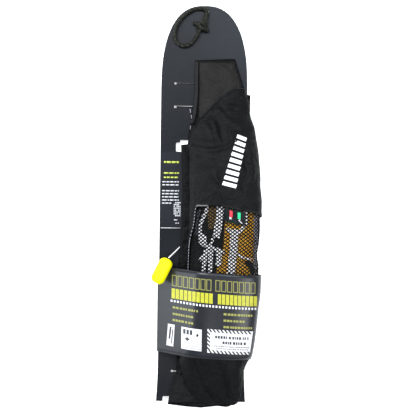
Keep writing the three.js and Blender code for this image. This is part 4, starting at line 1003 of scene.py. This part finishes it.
# A dark copy of the golden bladder cloth: the bladder just under the cover's hem, with painted shade.
bladder_cloth_shaded = woven("bladder_cloth_shaded", (0.10, 0.055, 0.006), (0.30, 0.17, 0.02), 3800, 3800, 0.4,
                    roughness=0.6, grain=90.0)
for name, (width, shares) in STRAPS.items():
    laid_tape(name + "_tape", width, on_pack(shares), tape_white, (name,))

# Small tapes and folds between the straps: width, run, cloth, slot, thickness and inset
THIN, DEEP = (0.7, 4.0), (0.7, 5.0)
SMALL_TAPES = {
    "strap_end_left": (11.0, [(-0.33, 0.46), (-0.31, 0.6)], tape_white, "tape", *THIN),
    "strap_low_middle": (7.4, [(0.12, 0.69), (0.14, 0.8), (0.13, 0.95)], tape_white, "tape", *THIN),
    "strap_slant": (4.0, [(-0.02, 0.5), (-0.1, 0.62), (-0.2, 0.72), (-0.4, 0.87)], tape_white, "tape", *THIN),
    # The side fold tape is white tape with painted shade.
    "side_fold": (8.0, [(-0.45, 0.06), (-0.51, 0.2), (-0.53, 0.34), (-0.52, 0.47)], tape_painted_shade, "tape", *THIN),
    "stripe_arm_left": (4.0, [(0.36, 0.345), (0.46, 0.40), (0.53, 0.46)], tape_white, "tape", *THIN),
    "stripe_arm_right": (4.0, [(0.86, 0.30), (0.74, 0.385), (0.63, 0.46)], tape_white, "tape", *THIN),
    "bladder_cord": (2.8, [(0.66, 0.76), (0.8, 0.80), (0.95, 0.835), (1.06, 0.84)], tape_white, "tape", *THIN),
    "corner_fold": (7.4, [(0.93, 0.86), (1.03, 0.94), (1.13, 1.06)], fold_cloth, "fold_cloth", 0.9, 3.9),
    "label_side": (5.0, [(0.875, 0.05), (0.885, 0.3)], tape_white, "tape", *THIN),
    # The strip just under the hem is the bladder cloth with painted shade.
    "inner_lining": (13.0, [(-0.05, -0.02), (-0.05, 0.15), (-0.03, 0.36)], bladder_cloth_shaded, "bladder_cloth", *DEEP),
}
for name, (width, shares, cloth, slot, thickness, inset) in SMALL_TAPES.items():
    laid_tape(name + "_tape", width, on_pack(shares), cloth, thickness=thickness, inset=inset)

# Grey tape round the bladder's right edge
EDGE_INSET, EDGE_FOOT = 5.0, 3.5
rows, flat = [], []
for y in steps(180, 262, 40):
    f = form_at(y, EDGE_INSET)
    first = turn_at(70.0 - 5 * max(0.0, (200 - y) / 20), y, EDGE_INSET)
    rows.append([])
    for k, turn in enumerate(steps(first, EDGE_FOOT, 14)):
        x, z = across_form(f, turn)
        rows[-1].append(curled(x, y, z))
        flat.append((1.6 * k * MM, y * MM))
shell("bladder_edge_tape", rows, flat, 0.5, folds([], 5.5, 0.5, 12), tape_grey)

# ---- Status label ----
# A small dark moulded label with a red and a green mark hangs in front of the net, under
# the cover's hem. A plain cross and a plain tick are printed under the marks.
dress("status_label", clouded("label_gloss", (0.004, 0.0062, 0.0066), (0.010, 0.014, 0.015), 120.0,
                              roughness=0.3, specular_ior_level=0.12))
dress("status_mark_red", ink("mark_red", (0.58, 0.02, 0.035), (0.75, 0.045, 0.06), 0.35))
dress("status_mark_green", ink("mark_green", (0.01, 0.48, 0.18), (0.02, 0.65, 0.26), 0.35))
label_face = face_of(bpy.data.objects["status_label"].data)
STROKE_WIDTH = 0.9
CROSS = [(36.1, 254.6, 39.1, 257.6), (36.1, 257.6, 39.1, 254.6)]
TICK = [(48.6, 253.4, 53.4, 249.0), (48.6, 253.4, 51.0, 254.3)]


def stroke(x0, y0, x1, y1):
    """Straight printed stroke on the label, from one place to the other."""
    half = STROKE_WIDTH / 2 / math.hypot(x1 - x0, y1 - y0)
    dx, dy = (y1 - y0) * half, (x0 - x1) * half
    corners = [(x0 - dx, y0 - dy), (x0 + dx, y0 + dy), (x1 + dx, y1 + dy), (x1 - dx, y1 - dy)]
    return pressed(corners, label_face, 0.1, 2, 2)


joined("label_signs", [stroke(*ends) for ends in CROSS + TICK], ink_white)

# ---- Printed sleeve ----
# A dark grey coated board sleeve is pulled taut round card and pouch, a little aslant. It is
# printed with plain bars, frames and panels.
SIDE = 61.1
SLEEVE_BACK = -2.2
SLEEVE_KNEE = 1.9
SLEEVE_ROOM = 0.9
SLEEVE_THICK = 0.8
FRONT, BACK, BANDS = 110, 12, 26


def sleeve_low(x):
    return 66 - 0.044 * x


def sleeve_top(x):
    return 183.5 - 0.0647 * x


@cache
def taut_loop(y):
    """The taut loop round card and pouch at y, in even steps over the front, then over the back."""
    f = form_at(y, -SLEEVE_ROOM)
    knee, far_corner = (-SIDE, SLEEVE_KNEE), (SIDE, SLEEVE_BACK)
    points = {(-SIDE, SLEEVE_BACK), far_corner, knee} | {across_form(f, turn) for turn in steps(0, 4, 160)}
    points = sorted(points)
    loop = []
    for order in (points, points[::-1]):
        chain = []
        for p in order:
            while len(chain) > 1 and ((chain[-1][0] - chain[-2][0]) * (p[1] - chain[-2][1])
                                      - (chain[-1][1] - chain[-2][1]) * (p[0] - chain[-2][0])) <= 0:
                chain.pop()
            chain.append(p)
        loop += chain[:-1]
    start = loop.index(knee) if knee in loop else 0
    loop = loop[start::-1] + loop[:start:-1]
    front = loop[:loop.index(far_corner) + 1]
    over = [tuple(between(a, b, share) for a, b in zip(front[k], front[k + 1]))
            for k, share in even_steps(front, FRONT)[0]]
    return over + [(x, SLEEVE_BACK) for x in steps(SIDE, -SIDE, BACK)[1:]]


inner, outer, flat = [], [], []
count = FRONT + 1 + BACK
for v in steps(0, 1, BANDS):
    middle = taut_loop(between(sleeve_low(0), sleeve_top(0), v))
    for i in range(count):
        y = between(sleeve_low(middle[i][0]), sleeve_top(middle[i][0]), v)
        loop = taut_loop(round(y, 1))
        (x, z), before, after = loop[i], loop[i - 1], loop[(i + 1) % count]
        out = Vector((before[1] - after[1], after[0] - before[0])).normalized()
        inner.append(curled(x, y, z))
        outer.append(curled(x + out.x * SLEEVE_THICK, y, z + out.y * SLEEVE_THICK))
        flat.append((i * 2.1 * MM, y * MM))
size, rim = len(inner), BANDS * count
faces = []
for i in range(count):
    n = (i + 1) % count
    for start in range(0, rim, count):
        a, b = start + i, start + n
        faces += [(a, b, b + count, a + count), (size + b, size + a, size + a + count, size + b + count)]
    faces += [(n, i, size + i, size + n), (rim + i, rim + n, size + rim + n, size + rim + i)]
sleeve_board = clouded("sleeve_board", (0.006, 0.0072, 0.010), (0.011, 0.0132, 0.018), 12.0,
                       dict(scale=900.0, strength=0.1, detail=3.0), roughness=0.36, specular_ior_level=0.3,
                       coat_weight=0.06, coat_roughness=0.25)
sleeve = piece("card_sleeve_board", outer + inner, faces, sleeve_board, ("card_sleeve",), flat + flat)
sleeve_face = face_of(sleeve.data)
PRINTED, OVERPRINTED = 0.14, 0.24


def patch(corners, lift=PRINTED, across=4, up=0):
    """Printed patch between four corners, given across the card and down from the sleeve's upper edge."""
    return pressed([(x, sleeve_top(x) - down) for x, down in corners], sleeve_face, lift, across, up or across)


def bar(x0, x1, top, foot, lift=PRINTED, count=2):
    return patch([(x0, foot), (x1, foot), (x1, top), (x0, top)], lift, count)


def outline(x0, x1, top, foot, line):
    """Printed frame of four thin bars."""
    bars = [(x0, x1, top, top + line), (x0, x1, foot - line, foot)]
    bars += [(x, x + line, top + line, foot - line) for x in (x0, x1 - line)]
    return [patch([(a, c), (b, c), (b, d), (a, d)], PRINTED,
                  max(2, round((b - a) / 3)), max(1, round((d - c) / 6))) for a, b, c, d in bars]


def bar_row(x0, x1, top, tall, wide, gap, seed, lift=PRINTED):
    """Row of short bars of uneven width, with small gaps."""
    chance = random.Random(seed)
    bars = []
    while x0 < x1 - wide / 2:
        end = min(x1, x0 + wide * chance.uniform(0.6, 1.3))
        bars.append(bar(x0, end, top, top + tall, lift))
        x0 = end + gap * chance.choice((1, 1, 1, 2))
    return bars


ink_yellow = ink("ink_yellow", (0.32, 0.32, 0.010), (0.43, 0.43, 0.020))
ink_olive = ink("ink_olive", (0.20, 0.20, 0.045), (0.27, 0.27, 0.06))
ink_black = ink("ink_black", (0.004, 0.004, 0.005), (0.009, 0.009, 0.010), 0.4)
FRAME_PITCH, FRAME_WIDTH, FRAME_LINE = 7.9, 6.6, 0.9
FRAME_TOP, FRAME_FOOT = 9.4, 24.6
SMALL_BAR = (2.9, 3.0, 0.8)
# Rows of small bars: where they start, their seeds' offset, and how far each reaches and lies down
SMALL_ROWS = [(-39.5, 0, [(-4.5, 52.3), (-9, 61.2), (-10.5, 69.6)]),
              (30, 50, [(71, 53.0), (60.5, 61.6), (69, 70.2)])]
frames, hearts = [], []
for x0 in [start + FRAME_PITCH * k for start in (-41, 18.5) for k in range(7)]:
    x1 = x0 + FRAME_WIDTH
    frames += outline(x0, x1, FRAME_TOP, FRAME_FOOT, FRAME_LINE)
    hearts.append(bar(x0 + FRAME_LINE, x1 - FRAME_LINE, FRAME_TOP + FRAME_LINE, FRAME_FOOT - FRAME_LINE,
                      0.1, 3))
for start, offset, ends in SMALL_ROWS:
    for reach, down in ends:
        frames += bar_row(start, reach, down, *SMALL_BAR, int(down) + offset)
joined("sleeve_frames_olive", frames, ink_olive)
joined("sleeve_frame_hearts", hearts, ink_black)
yellow = [bar(start + pitch * k, start + pitch * k + wide, 27.9, 41.6, PRINTED, 4)
          for start, pitch, wide in ((-41.4, 5.74, 4.8), (22, 5.4, 4.5)) for k in range(10)]
joined("sleeve_bars_yellow", yellow, ink_yellow)
white = [bar(-42.5 + 4.4 * k, -40.1 + 4.4 * k, 43.7, 46.6) for k in range(27)]
white += [patch([(-48, 107.5), (-38.2, 107.5), (-36.5, 77.5), (-46, 77.5)]),
          patch([(-27, 107.6), (0.8, 107.6), (0.8, 78), (-27, 78)], PRINTED, 8),
          patch([(8.6, 108.5), (66.5, 108.5), (70.5, 76), (8.6, 76)], PRINTED, 28)]
joined("sleeve_panels_white", white, ink_white)

# On the white panels are printed a slanted border, bars, two diamonds and a zigzag
STRIPE_PITCH = 5.3
PANEL_ROWS = [
    (19, 65, 84.2, 3.7, 2.4, 1.0), (29, 62, 91.4, 3.7, 2.4, 1.0), (18, 65, 98.0, 1.0, 2.0, 0.6),
    (20, 64, 101.2, 1.0, 2.0, 0.6),
]
PANEL_PATCHES = [
    [(-5.5, 89.5), (-3.2, 86.5), (-4.5, 83.5), (-6.8, 86.5)],
    [(-19, 96.2), (-15.2, 93.4), (-19, 90.4), (-22, 93.4)],
    [(-45.2, 98), (-42.6, 98), (-40.8, 81), (-43.4, 81)],
    [(-41.6, 104), (-40.2, 104), (-38.4, 84), (-39.8, 84)],
]
dark = []
for k in range(11):
    for top in (75.8, 104.4):
        x = 9.5 + STRIPE_PITCH * k
        stripe = [(x + 3.4, top + 4.3), (x + 6.0, top + 4.3), (x + 2.6, top), (x, top)]
        dark.append(patch(stripe, OVERPRINTED, 2))
for down in [79 + STRIPE_PITCH * k for k in range(5)]:
    stripe = [(8.5, down + 2.6), (12.2, down + 5.8), (12.2, down + 3.2), (8.5, down)]
    dark.append(patch(stripe, OVERPRINTED, 2))
for seed, row in enumerate(PANEL_ROWS, start=5):
    dark += bar_row(*row, seed, OVERPRINTED)
dark += [bar(-24.5 + 4.6 * k, -21.2 + 4.6 * k, 80.5, 87.0, OVERPRINTED) for k in range(3)]
dark += [patch(corners, OVERPRINTED) for corners in PANEL_PATCHES]
for level in (97.8, 101.0, 104.2):
    for k in range(11):
        x = -25.4 + 2.3 * k
        first, last = (0, 1.3) if k % 2 else (1.3, 0)
        left, right = level + first, level + last
        zig = [(x, left + 0.45), (x + 2.3, right + 0.45), (x + 2.3, right), (x, left)]
        dark.append(patch(zig, OVERPRINTED, 1))
joined("sleeve_marks_dark", dark, ink_black)
